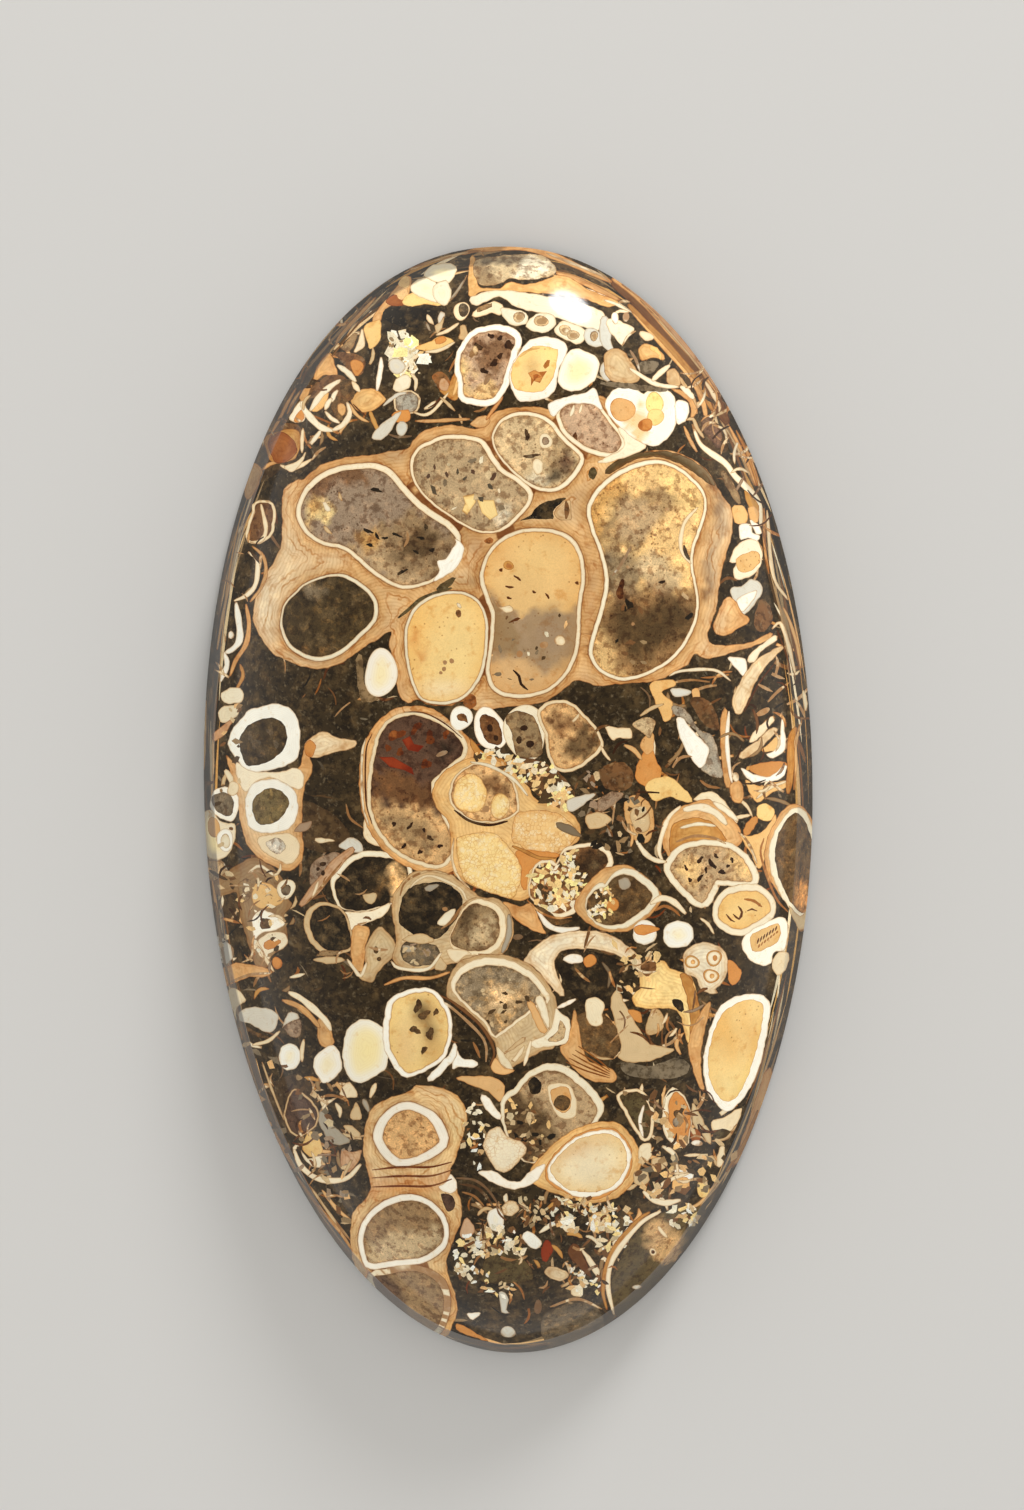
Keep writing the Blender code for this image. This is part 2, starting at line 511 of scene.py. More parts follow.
blob("mud", "beige", "494,441 496,431 504,421 519,416 535,417 549,424 558,436 567,445 575,452 580,459 "
    "575,469 567,479 558,486 548,488 537,486 526,480 515,471 506,462 499,453", wall=3.8, thick=(0.3, 0),
    flow=True, name="upperMiddle")
blob("mud", "pinkTan", "560,414 566,406 580,403 595,404 601,412 610,424 619,436 621,445 615,452 604,452 "
    "590,448 578,441 566,430", wall=3.8, thick=(0, -0.3), flow=True, name="upperRight")
blob("mud", "honey", "591,512 594,501 602,490 612,481 625,473 640,467 655,464 668,466 680,472 691,481 "
    "700,491 704,502 702,516 697,531 692,545 690,558 691,572 694,586 696,600 695,614 692,624 686,637 "
    "678,649 667,660 652,669 637,675 622,677 611,674 602,669 595,660 593,650 596,636 601,620 606,602 "
    "609,583 607,566 602,548 595,530", wall=3.9, thick=(-0.15, 0.1), flow=True, name="largest")
blob("amber", "honey", "484,573 487,562 492,552 501,543 513,536 526,532.5 541,532 555,534 566,539 574,547 "
    "578.5,557 580.5,568 581,580 579,593 577,607 576.5,622 576,636 574,650 568.5,665 560,677.5 549,687 "
    "536,692 520,694 505,692 495,686 491,676 490,666 492,653 494,637 495,622 495,612 491,601 487,590 "
    "484.5,581", wall=4.2, flow=True, name="middleWhorl")
blob("amber", "amber", "450,594 437,597 426,602 415,612 408.5,627 407.5,642 409,660 412.5,676 417,689 "
    "423,698 434,701 447,701 460,697 471,687 479.5,672 483.5,654 485,635 484.5,619 480,607 474,600 464,595",
    wall=3.2, flow=True, name="amberWhorl")
blob("dark", "ground", "327,577.5 339,576.5 348.5,580 358,585.5 367,593 373,602 374,611 372,619 367,626 "
    "358,634 348,644 337,651.5 325,656 312,656 300,651 290,643 285,633 282.5,622 284,610 288,602 296,594 "
    "304,586.5 315,581", wall=3.6, thick=(0.25, -0.2), flow=True, name="darkEye")

# What fills the bean
stain("dun", "350,545 372,528 400,515 420,512 456,540 440,565 420,585 395,582 365,560", "bean")
stain("mud", "352,551 376,535 384,545 380,558 396,570 420,572 424,584 400,586", "bean")
stain("ochre", "357,541 362,533 370,533 376,541 370,550 362,548", "bean")
stain("brown", "310,480 330,470 350,470 372,472 372,481 338,485 312,500", "bean")
stain("umber", "400,540 412,536 424,530 440,533 438,548 425,552 412,560 400,552", "bean")
stain("gold", "304,505 309,499 315,502 325,502 331,511 326,517 312,520", "bean")
stain("ochre", "308,504 314,501 318,508 315,516 309,512", "bean")
blob("wall", "cream", "322,502 326,501 331,511 327,512")
stain("honey", "304,522 310,521 314,528 312,532 306,527", "bean")
band("wall", "beige", "324,526 328,531 332,534", 4)
band("wall", "beige", "339,492 340,497 342,501", 4)
for x, y, long, angle in ((368, 531, 6, 30), (377, 536, 4, 50), (385, 538, 3, 0), (397, 535, 5, 20),
                          (370, 545, 4, 0),
                          (402, 572, 6, -35), (376, 490, 7, 8), (426, 527, 4, 80), (432, 550, 4, -15),
                          (421, 538, 4, 0), (416, 552, 3, 30)):
    oval("dark", "black", x, y, long, 1.7, turn=-angle, within="bean")
band("wall", "ivory", "407,531 408,539 404,547", 3)

# What fills the speckled whorl
blob("wall", "gold", "463,496 474,494 476,502 467,515 462,511 465,503", sharp=True)
blob("wall", "gold", "477,500 494,500 498,515 490,520 482,513", sharp=True)
stain("cream", "498,514 503,508 505,500 511,500 504,518 496,521", "speckled")
crumbs("418,462 470,446 500,480 515,505 480,520 440,500", 22, (1.6, 3.8),
    ("plum", "smoke", "ivory", "plum", "beige", "slate"), 73, within="speckled")

# What fills the two whorls above
stain("dun", "545,465 556,448 566,446 580,459 568,478 552,487 545,480", "upperMiddle")
stain("slate", "545,473 552,470 560,474 556,484 548,484", "upperMiddle")
stain("plum", "566,456 574,452 580,459 574,469 566,464", "upperMiddle")
blob("wall", "ivory", "533,461 538,458 543,463 542,472 537,475 533,470")
oval("wall", "ivory", 545.5, 441, 7.5, 7.5)
oval("mud", "mauve", 545.5, 441, 4, 4)
stain("ivory", "528,476 536,472 545,478 543,487 535,485", "upperMiddle")
oval("mud", "smoke", 527, 435, 3, 5, within="upperMiddle")
oval("mud", "smoke", 531, 456, 8, 2, within="upperMiddle")
band("wall", "cream", "570,417 573,410 574,405", 4)
band("wall", "cream", "579,414 581,408 582,404", 4)
oval("mud", "brown", 575, 437, 3, 4, turn=30, within="upperRight")
blob("wall", "cream", "598,461 620,450 624,441 617,428 628,430 646,446 632,455 606,463")

# What fills the largest whorl
stain("ochre", "588,530 590,505 600,488 616,476 628,480 616,500 608,520 606,540", "largest")
stain("dun", "612,512 628,496 668,488 676,500 668,520 650,530 640,545 606,560 "
    "606,530", "largest")
stain("mud", "616,520 634,500 655,505 664,520 652,532 634,540 620,540", "largest")
stain("smoke", "604,562 622,550 640,556 648,576 636,596 620,604 606,590", "largest")
stain("beige", "644,556 660,552 676,566 684,584 668,594 650,590 640,574", "largest")
stain("amber", "664,478 672,472 696,482 706,500 700,512 690,515 675,494", "largest")
stain("honey", "664,520 676,508 688,512 692,522 682,556 668,552 660,540", "largest")
stain("brown", "590,620 606,596 632,592 655,584 680,590 706,580 706,620 690,660 664,680 640,684 616,672 "
    "598,650",
    "largest", 0.8, 0.8)
stain("ground", "604,624 622,606 640,610 664,600 692,604 690,626 668,646 650,652 636,664 "
    "622,650", "largest", 0.8, 0.9)
stain("honey", "586,646 600,634 610,642 618,668 612,680 596,670", "largest", 0.8, 0.5)
crumbs("604,600 690,590 690,640 640,676 "
    "610,660", 16, (1.6, 3.6), ("dun", "brown", "black", "umber", "mud"), 71,
    within="largest")
oval("mud", "brown", 620.5, 590, 4.5, 8, turn=-10, within="largest")
oval("dark", "black", 629, 604, 3, 6, turn=20, within="largest")
oval("mud", "slate", 662, 582, 3, 2, within="largest")
band("wall", "paleGrey", "631,546 626,556 620,566 612,576", 3)
band("wall", "ivory", "698,507 684,524 681,549 691,564", 4.5)
band("mud", "slate", "684,545 686,554 690,560", 4, within="largest")
for x, y in ((667, 509), (668, 529), (655, 535), (638, 515), (641, 512), (633, 624), (628, 567)):
    oval("wall", "cream", x, y, 1.9, 1.7)

# What fills the middle whorl and the amber one
stain("mauve", "480,598 490,598 515,611 546,612 560,604 570,610 584,612 586,640 560,700 500,700 "
    "484,660", "middleWhorl")
stain("dun", "484,612 500,612 520,622 516,640 522,650 508,656 490,652", "middleWhorl")
stain("tan", "484,664 500,657 545,668 572,660 560,690 520,700 490,690", "middleWhorl")
stain("dun", "524,622 548,608 570,612 580,630 576,660 552,672 530,660", "middleWhorl", 0.4, 0.6)
stain("mauve", "536,626 560,620 570,640 552,650 536,644", "middleWhorl", 0.4, 0.5)
crumbs("490,612 574,610 574,660 520,690 "
    "492,670", 18, (1.2, 2.6), ("brown", "ivory", "umber", "tan", "smoke"), 72,
    within="middleWhorl")
blob("wall", "ivory", "495,601 501,607 510,605 513,611 506,613 498,607")
oval("amber", "ochre", 508.5, 565.5, 5.5, 4.5)
oval("amber", "tan", 509, 566, 3.4, 2.6)
for x, y, long, angle in ((517.5, 578, 4, -40), (509.5, 587, 4, 0), (547.5, 596, 3, -50), (501, 570, 2.5, 0),
                          (577, 583, 2.5, 0), (509, 598, 2.5, 0), (515, 620, 6, 30), (534, 592, 2, 0)):
    oval("amber", "brown", x, y, long, 1.5, turn=angle, within="middleWhorl")
for x, y, wide, high in ((560, 640.5, 5.5, 5.5), (544, 645, 4.5, 3.5), (519.6, 654, 3.5, 3.3)):
    oval("wall", "ivory", x, y, wide, high)
band("mud", "umber", "513,670 519,676 521,684 528,690", 3, within="middleWhorl")
band("wall", "cream", "457,603 461,608", 4.5)
oval("dark", "brown", 458.5, 613.5, 3, 4)
for x, y, size in ((451.7, 661, 2.6), (445, 662.5, 2.3), (444, 669, 2.3), (440.8, 672.8, 1.8)):
    oval("wall", "cream", x, y, size, size)
stain("orange", "411,638 415,636 421,660 418,664 414,652", "amberWhorl")
stain("smoke", "304,590 310,586 322,592 312,597 303,597", "darkEye")
stain("umber", "305,650 318,646 335,650 330,656 312,657", "darkEye")

# The white disc beside the amber whorl
blob("ground", "dun", "356,660 362,655 364,680 370,694 380,699 368,702 360,698")
oval("pearl", "white", 381, 673, 17.3, 23.2, name="oneDisc")


def blobs(*rows):
    for finish, paint, points, *more in rows:
        blob(finish, paint, points, **(more[0] if more else {}))


def stainsIn(name, *rows):
    for paint, points in rows:
        stain(paint, points, name)


def bands(*rows):
    for finish, paint, width, points in rows:
        band(finish, paint, points, width)


# The layers of shell along the upper right edge
bands(
    ("lamina", "brown", 16, "612,282 640,303 694,366 728,424"),
    ("lamina", "tan", 9, "612,278 640,298 694,357 718,392"),
    ("lamina", "pinkTan", 5, "622,284 650,305 700,364 719,393"),
    ("wall", "beige", 2.4, "640,300 664,326 690,356 708,380"),
    ("lamina", "ochre", 8, "628,304 690,372 713,411"),
    ("lamina", "honey", 4, "632,312 694,382 706,402"),
    ("ground", "umber", 3.5, "676,366 704,396 714,402 722,414"),
    ("lamina", "tan", 6, "690,376 699,392 704,406 706,418"),
    ("wall", "ivory", 4.5, "705,381 713,394 720,407 719,412"),
    ("lamina", "beige", 5, "676,374 685,385 693,399 697,414"),
    ("ground", "umber", 5, "680,372 687,381 692,391"))

# The pale rim and the long chamber at the top
bands(
    ("lamina", "tan", 7, "462,254 484,249 536,250 612,282"),
    ("wall", "cream", 3, "546,253 596,273 609,281"),
    ("ground", "umber", 4.5, "556,266 574,272 592,280 608,288"),
    ("lamina", "tan", 6, "556,273 576,279 620,300"),
    ("wall", "beige", 3, "404,273 427,263 474,251 484,256"),
    ("wall", "beige", 2, "409,269 430,262 452,256"),
    ("lamina", "ivory", 2, "446,304 455,295 463,283 467,275"),
    ("wall", "grey", 3, "450,300 458,290 465,279"))
blobs(
    ("lamina", "honey", "470,258 475,258 477,280 481,287 500,288 509,282 530,284 560,275 576,281 590,290 "
     "618,301 612,307 600,305 570,296 490,291 473,297 468,290"),
    ("mud", "beige", "474,262 496,256 530,254 544,256 557,270 544,278 520,280 509,278 500,284 479,284",
     {"name": "topChamber"}),
    ("wall", "cream", "471,297 505,290 580,303 605,315 598,331 588,329 548,315 518,308 499,297 476,306"),
    ("wall", "ivory", "473,312 490,302 500,303 504,310 500,316 492,313 475,318"),
    ("mud", "dun", "476,308 492,303 492,307 477,312"),
    ("pearl", "cream", "501,308 509,324 526,324 526,313"),
    ("pearl", "cream", "526,324 528,329 545,333 556,324 555,317 547,313 536,314"),
    ("pearl", "cream", "554,330 560,337 576,344 583,342 586,336 583,328 563,321"),
    ("pearl", "paleGrey", "584,332 588,328 596,329 606,343 596,347 586,343"),
    ("wall", "paleGrey", "600,320 606,316 612,325 611,340 614,350 606,350 600,340"))
stainsIn("topChamber",
    ("dun", "474,268 484,266 500,284 486,288 476,284"),
    ("smoke", "484,258 500,255 528,256 530,264 490,266"),
    ("cream", "530,256 546,257 556,268 548,276 510,277 520,270"))
for x, y, wide, high in ((519, 317, 5, 4), (541, 321, 6, 4.5), (565, 330, 5, 4), (573, 335, 5, 4),
                         (594, 336, 3, 4)):
    oval("mud", "beige", x, y, wide + 1.2, high + 1.2)
    oval("pearl", "cream", x + 0.6, y + 0.4, wide - 1, high - 1)
oval("wall", "ivory", 461.5, 311, 8, 9.5)
oval("dark", "slate", 463.5, 310, 5.5, 6.5)

# The clover and the pale clusters of the upper left
blobs(
    ("lamina", "tan", "372,318 397,286 405,276 412,281 404,305 392,305 384,312 380,322"),
    ("lamina", "rust", "386,302 393,294 402,298 403,306 392,306"),
    ("crumb", "honey", "398,284 405,276 410,280 406,288"),
    ("crumb", "tan", "396,292 404,289 409,296 401,300"),
    ("amber", "gold", "402,302 414,292 444,300 440,306 424,304 412,307"),
    ("pearl", "cream", "410,288 418,279 430,278 438,286 441,298 436,303 414,294", {"name": "clover"}),
    ("pearl", "cream", "424,276 428,268 440,263 453,264 457,270 452,280 442,284", {"name": "clover"}),
    ("pearl", "cream", "436,284 446,280 451,290 450,301 444,306 436,301 432,292", {"name": "clover"}),
    ("ground", "black", "383,318 395,306 446,313 425,322 410,328"),
    ("amber", "amber", "364,326 377,320 381,323 380,340 370,349 366,337"),
    ("wall", "ivory", "362,329 365,346 354,352 358,341"),
    ("mud", "dun", "342,346 355,332 358,333 353,347 346,352 340,348"),
    ("lamina", "tan", "313,379 318,365 329,353 337,370 336,378 326,375 315,381"),
    ("ground", "brown", "335,354 344,352 364,358 363,372 354,376 341,361"),
    ("amber", "orange", "350,362 358,360 364,366 358,376 352,370"),
    ("lamina", "honey", "351,401 357,392 371,388 382,394 385,402 369,412 358,411"),
    ("ground", "brown", "305,388 312,385 330,375 342,376 352,384 354,396 346,402 330,394 309,398"),
    ("lamina", "tan", "299,398 305,388 312,385 304,402"),
    ("dark", "umber", "332,398 342,397 349,403 349,412 343,420 334,417"),
    ("amber", "tan", "338,405 344,404 346,411 342,416 338,412"),
    ("dark", "umber", "341,380 350,381 355,389 354,396 346,398 340,390"),
    ("amber", "honey", "311,411 318,399 329,393 325,405 320,410"),
    ("wall", "cream", "294,409 301,400 304,401 306,413 303,422 289,420"),
    ("amber", "orange", "298,412 304,410 303,421 294,421"))
bands(
    ("wall", "cream", 7, "302,401 304,409 319,426 333,431"),
    ("wall", "cream", 6, "332,430 340,427 347,420 350,411 347,402"),
    ("wall", "cream", 6.5, "341,380 331,386 320,396 310,411"),
    ("wall", "cream", 5, "332,402 334,395 338,390"),
    ("wall", "cream", 5.5, "325,410 328,403 332,398"),
    ("wall", "cream", 4.5, "325,411 331,418 340,423"),
    ("wall", "cream", 6, "337,365 346,371 352,377 356,382"),
    ("wall", "ivory", 5.5, "352,381 356,387 360,392"),
    ("wall", "tan", 3.5, "350,404 355,413 362,419 369,422"),
    ("wall", "brown", 1.5, "353,404 360,411 367,417"),
    ("wall", "white", 5.5, "381,357 381,366 379,378 377,391"),
    ("lamina", "tan", 4, "337,344 340,336 376,297"),
    ("wall", "beige", 2.5, "300,376 312,354 348,311 384,282"),
    ("wall", "dun", 3, "301,384 313,362 372,296"),
    ("wall", "tan", 3, "287,414 293,402 301,390"),
    ("lamina", "tan", 3.5, "270,436 279,420 287,404 296,388"),
    ("wall", "beige", 4, "334,350 336,346 340,345"))
crumbs("389,345 397,328 407,325 412,340 425,352 430,362 420,373 408,376 394,368", 34, (3, 6.5),
    ("cream", "ivory", "white", "yellow"), 31, long=1.2)
crumbs("389,345 400,330 412,340 425,355 420,373 400,372", 20, (1, 2.2), ("dun", "honey", "beige"), 32)
blobs(
    ("wall", "ivory", "427,314 432,318 434,325 430,324 427,319"),
    ("wall", "paleGrey", "441,311 445,313 442,321 438,324 438,316"),
    ("wall", "grey", "425,321 429,325 431,331 427,328"),
    ("wall", "beige", "435,326 440,322 444,316 442,328 437,334"),
    ("amber", "amber", "415,348 426,343 443,336 454,343 434,352"),
    ("amber", "orange", "434,340 441,336 447,339 443,343 436,344"),
    ("lamina", "beige", "460,326 465,325 468,333 464,340 458,339 460,333"),
    ("pearl", "paleGrey", "388,364 393,358 401,360 406,366 400,374 391,372"),
    ("pearl", "cream", "396,379 405,374 411,379 409,388 400,392 393,389"),
    ("mud", "grey", "398,395 411,392 418,399 416,410 404,412 396,408",
     {"wall": 2, "wallPaint": "ivory"}),
    ("amber", "orange", "394,412 408,410 410,420 400,423 392,418"),
    ("lamina", "ochre", "440,391 449,383 458,366 462,372 457,400"),
    ("ground", "rust", "432,376 441,372 449,378 449,387 440,390"),
    ("amber", "pinkTan", "439,381 444,378 449,384 447,391 441,390"),
    ("wall", "paleGrey", "372,438 378,427 401,411 390,432 381,440"),
    ("wall", "paleGrey", "397,424 404,421 408,428 403,436 396,432"),
    ("lamina", "tan", "470,424 478,417 488,416 490,424 480,428"))
bands(
    ("wall", "ivory", 4, "436,335 447,331 459,323"),
    ("wall", "ivory", 4, "425,352 440,350 455,342"),
    ("wall", "ivory", 4, "410,373 416,380 415,391"),
    ("wall", "ivory", 3.5, "413,412 424,415 434,410 449,392"),
    ("wall", "ivory", 4.5, "424,409 430,406 436,401"),
    ("wall", "brown", 1.6, "428,408 435,404 441,397"),
    ("wall", "beige", 3.5, "440,397 447,403 455,411"),
    ("wall", "beige", 3.5, "459,414 461,419 462,424"),
    ("wall", "paleGrey", 4, "383,406 390,400 399,394 408,393"),
    ("wall", "grey", 2.5, "388,434 398,437 412,436"),
    ("lamina", "ochre", 4, "415,421 432,421 450,420 470,419"),
    ("wall", "tan", 2.5, "449,372 454,362 462,350 470,337"),
    ("wall", "honey", 4, "453,396 457,384 459,372"),
    ("lamina", "orange", 4, "486,420 493,410 499,402 503,396"),
    ("wall", "ivory", 4, "303,428 302,440 302,453"),
    ("wall", "ivory", 4.5, "280,465 290,469 300,466 312,459"),
    ("wall", "ivory", 3, "312,460 318,452 326,447"),
    ("lamina", "tan", 4, "262,470 270,464 279,462"))

# The chain of whorl, discs and horn under them
blobs(
    ("mud", "pinkTan", "473,337 495,331 514,338 510,356 495,396 466,396 463,380 460,360",
     {"wall": 6.5, "wallPaint": "white", "thick": (0.1, 0), "name": "topWhorl"}),
    ("wall", "white", "530,340 551,337 566,344 566,359 560,366 554,392 539,400 518,400 509,378 514,361"),
    ("amber", "gold", "536,346 554,348 558,354 552,380 539,392 518,390 512,383 512,367 "
     "522,353", {"name": "yolk"}),
    ("pearl", "white", "570,350 588,352 599,361 596,378 581,390 563,389 558,374", {"name": "pale"}),
    ("pearl", "paleGrey", "603,362 609,362 614,368 613,378 607,382 601,377 600,369"),
    ("wall", "white", "548,407 555,400 586,392 595,388 602,410 590,404 567,405 553,417"),
    ("wall", "white", "613,390 632,387 644,394 650,389 673,394 676,424 659,445 636,440 "
     "606,411", {"name": "swirl"}),
    ("wall", "white", "676,401 688,403 688,418 682,423 676,423"))
stainsIn("topWhorl",
    ("brown", "478,338 490,334 506,340 508,356 500,372 488,378 482,362 476,350"),
    ("honey", "456,386 468,388 500,384 498,400 476,404 460,398"),
    ("amber", "460,360 467,364 465,392 456,392"))
stainsIn("swirl",
    ("honey", "618,421 632,420 640,410 642,402 647,410 648,430 640,438"))
oval("amber", "tan", 622.5, 409.5, 12, 12.5, turn=20)
oval("amber", "yellow", 654.5, 403, 8.5, 11.5, turn=-8)
oval("amber", "gold", 655.5, 417, 8, 9)
oval("amber", "orange", 645.5, 425, 8, 6, turn=15)
for x, y, wide, high, angle in ((509.5, 345.5, 4.5, 5.5, 0), (478, 347, 4, 4, 0), (491, 336, 3, 3, 0),
                                (500, 338, 3, 2.5, 0), (494, 363, 5, 3, 20), (484, 371, 4, 3, 0),
                                (500, 356, 3, 3, 0)):
    oval("mud", "umber", x, y, wide, high, turn=angle, within="topWhorl")
oval("wall", "paleGrey", 487, 380, 2.6, 5.5, turn=-25)
oval("mud", "beige", 474, 352, 4, 6, within="topWhorl")
blobs(
    ("amber", "orange", "528,373 534,370 539,372 547,371 543,377 540,383 534,381 531,386 531,378",
     {"sharp": True}),
    ("dark", "rust", "533,375 537,374 542,377 537,378 534,381", {"sharp": True}),
    ("amber", "ochre", "543,366 547,360 550,360 549,366 545,369", {"sharp": True}))
bands(
    ("amber", "gold", 2.5, "520,357 529,350 540,348"))

# The ribs and horns right of the chain
blobs(
    ("lamina", "beige", "606,352 622,350 640,378 626,384 610,380 604,368"),
    ("ground", "smoke", "600,384 616,382 650,386 668,388 660,392 620,388"),
    ("wall", "cream", "606,322 612,318 634,328 628,336 622,345 610,332"),
    ("lamina", "honey", "642,345 650,344 664,355 663,361 657,358 650,358 642,361 638,352"),
    ("amber", "amber", "650,345 657,348 663,356 661,360 656,353 650,350"),
    ("ground", "smoke", "640,362 658,362 654,372 645,374 640,370"),
    ("lamina", "beige", "667,372 675,368 680,377 679,386 668,384"),
    ("wall", "ivory", "640,331 650,333 655,338 648,341 640,337"),
    ("lamina", "tan", "670,388 680,390 692,398 697,412 690,420 691,408 684,398"),
    ("ground", "umber", "696,424 710,420 722,428 728,440 726,452 702,446"),
    ("dark", "plum", "702,417 711,418 720,427 722,440 718,448 703,430"))
bands(
    ("wall", "cream", 5, "629,368 656,384 679,387"),
    ("wall", "cream", 6, "652,381 660,373 670,365"),
    ("wall", "cream", 6.5, "680,386 687,391 694,399"),
    ("wall", "cream", 3.5, "604,300 616,304 631,312"),
    ("wall", "cream", 3.5, "614,314 620,311 629,312"),
    ("wall", "cream", 2.5, "622,346 628,336 636,331"),
    ("wall", "ivory", 3, "618,303 624,301 630,302"),
    ("wall", "paleGrey", 3, "630,350 636,360 640,372"),
    ("wall", "beige", 3, "692,424 697,436 702,446"),
    ("lamina", "tan", 4, "684,426 690,440 697,452"),
    ("wall", "beige", 4, "686,420 693,419 697,428 704,438"))
for x, y, wide, high in ((615, 318, 4, 6), (626, 317, 3.6, 4.6)):
    oval("wall", "white", x, y, wide, high)

# Streaks and shards along the right edge
bands(
    ("wall", "cream", 6.5, "694,430 702,446 725,463 735,476 758,501 761,526"),
    ("lamina", "tan", 4, "728,424 738,444 748,464 756,486"),
    ("wall", "beige", 2.5, "720,420 733,440 744,462 754,485"),
    ("lamina", "ochre", 3.5, "736,430 748,455 758,486"),
    ("wall", "tan", 2, "742,440 752,462 760,484"),
    ("mud", "dun", 8, "722,471 731,487 740,504"),
    ("wall", "ivory", 4, "767,510 773,574 788,600"),
    ("lamina", "tan", 3, "764,508 764,528 765,550 769,574"))
blobs(
    ("amber", "ochre", "745,490 759,506 756,515 748,506"),
    ("amber", "honey", "732,508 742,505 748,515 745,524 735,522"),
    ("amber", "tan", "748,508 754,506 759,513 758,522 751,521"),
    ("wall", "cream", "737,545 748,539 756,540 763,550 757,572 737,580 733,572 736,563 729,562"),
    ("amber", "honey", "736,560 748,552 758,552 760,562 752,570 740,572"),
    ("wall", "white", "739,525 750,524 753,532 760,536 757,541 748,538 741,540"),
    ("wall", "white", "750,520 758,524 762,533 756,534"),
    ("wall", "paleGrey", "730,590 741,586 752,579 762,585 760,597 742,615"),
    ("wall", "white", "736,600 757,590 752,602 742,612"),
    ("lamina", "tan", "724,600 733,598 742,612 750,620 738,629 723,636 713,628"),
    ("ground", "brown", "760,600 770,606 772,622 762,632 754,624"))
bands(
    ("wall", "ivory", 4.5, "772,629 780,623 787,640 795,673"),
    ("wall", "brown", 2, "777,630 783,645 788,660 790,674"),
    ("wall", "tan", 3.5, "783,607 790,622 797,645 801,668"),
    ("wall", "cream", 3.5, "669,676 681,671 714,670 731,681"),
    ("wall", "ivory", 3, "776,656 778,664 775,677"),
    ("wall", "beige", 2.5, "655,690 668,684 690,680 710,682"))
blobs(
    ("wall", "cream", "747,662 752,652 775,635 777,640 763,650 754,662"),
    ("wall", "white", "728,658 745,659 747,672 744,677"),
    ("lamina", "ivory", "732,700 752,664 782,645 784,648 770,662 757,680 741,714"),
    ("lamina", "tan", "722,712 727,711 728,765 731,786 724,782 720,735"),
    ("amber", "honey", "650,684 673,680 676,685 662,692 672,702 672,716 665,722 660,712"),
    ("wall", "paleGrey", "670,690 680,688 692,691 688,695 675,697"),
    ("amber", "tan", "692,690 698,688 700,700 694,702"),
    ("mud", "grey", "672,706 685,709 700,730 712,735 718,752 722,778 700,768 709,750 684,719 675,716"),
    ("wall", "white", "676,719 684,719 693,731 709,749 700,768 683,745"),
    ("wall", "beige", "679,730 695,752 698,764 690,760"),
    ("amber", "orange", "650,742 656,760 662,772 655,785 642,785 635,772"),
    ("amber", "gold", "645,787 655,778 672,778 692,798 688,803 670,797 655,801"),
    ("wall", "ivory", "693,800 702,793 716,793 733,812 738,822 730,822 720,810 706,802"),
    ("amber", "tan", "640,745 648,733 654,735 653,750 647,755"),
    ("mud", "beige", "632,725 645,717 655,721 650,738 642,732"),
    ("wall", "ivory", "605,725 618,728 630,728 632,738 620,738 612,740"),
    ("ground", "brown", "690,700 704,698 716,712 718,730 704,724"),
    ("wall", "ivory", "749,742 755,730 764,722 773,716 775,720 757,740"),
    ("lamina", "ivory", "739,758 741,752 760,738 770,728 778,729 774,735 756,752 743,759"),
    ("amber", "honey", "762,750 781,734 779,748 768,752"),
    ("wall", "white", "782,712 786,745 780,755 770,758 766,754 775,750 780,735"),
    ("amber", "orange", "750,766 780,761 788,768 770,777 757,775"),
    ("wall", "white", "741,768 757,775 770,776 785,765 787,770 778,780 752,782"),
    ("amber", "honey", "745,780 760,786 786,780 788,786 770,794 760,802 754,800"),
    ("lamina", "tan", "730,785 738,780 744,790 741,803 732,800"))
bands(
    ("wall", "white", 4.5, "729,711 727,740 729,765 732,783"),
    ("wall", "brown", 1.8, "744,712 750,700 760,682 774,664"),
    ("wall", "ivory", 3.5, "756,799 770,788 787,781"),
    ("lamina", "ochre", 8, "796,727 791,740 791,765 788,794"),
    ("wall", "tan", 3, "800,724 796,745 796,765 794,790"),
    ("wall", "ivory", 4.5, "803,690 805,700 806,711"),
    ("wall", "beige", 4, "640,716 652,708 664,704"),
    ("wall", "tan", 5, "624,745 634,750 642,760"),
    ("wall", "beige", 3, "700,780 708,786 720,788"))
oval("wall", "cream", 735.5, 777, 3.6, 5)
oval("wall", "ivory", 763, 712, 3, 8, turn=-60)

# The snail of cells at the lower right
blobs(
    ("lamina", "tan", "661,838 668,815 700,800 716,803 737,824 742,842 726,850 700,848 682,852 672,862"),
    ("lamina", "ochre", "672,826 690,818 708,820 722,832 725,842 700,842 680,846 670,852"),
    ("amber", "tan", "625,800 640,796 652,808 654,826 648,842 634,840 626,822"),
    ("wall", "beige", "630,812 640,806 650,816 648,830 636,832"),
    ("amber", "gold", "757,808 766,803 775,812 770,821 758,818"),
    ("amber", "honey", "740,835 752,836 766,828 776,814 774,835 760,868 750,852"),
    ("mud", "mud", "672,864 686,849 714,846 738,854 752,880 722,880 714,883 706,899 698,901 674,876",
     {"wall": 6.5, "wallPaint": "cream", "name": "cellOne"}),
    ("amber", "amber", "718,911 728,895 752,891 763,895 770,911 741,929 "
     "722,921", {"wall": 6.5, "wallPaint": "cream", "name": "cellTwo"}),
    ("wall", "white", "742,947 746,934 771,920 783,917 788,925 786,948 774,953 771,963 763,966 750,960"),
    ("amber", "honey", "750,943 753,934 778,924 778,941 756,952",
     {"name": "cellThree"}),
    ("wall", "ivory", "774,957 781,951 788,953 789,961 784,972 777,975 772,968"))
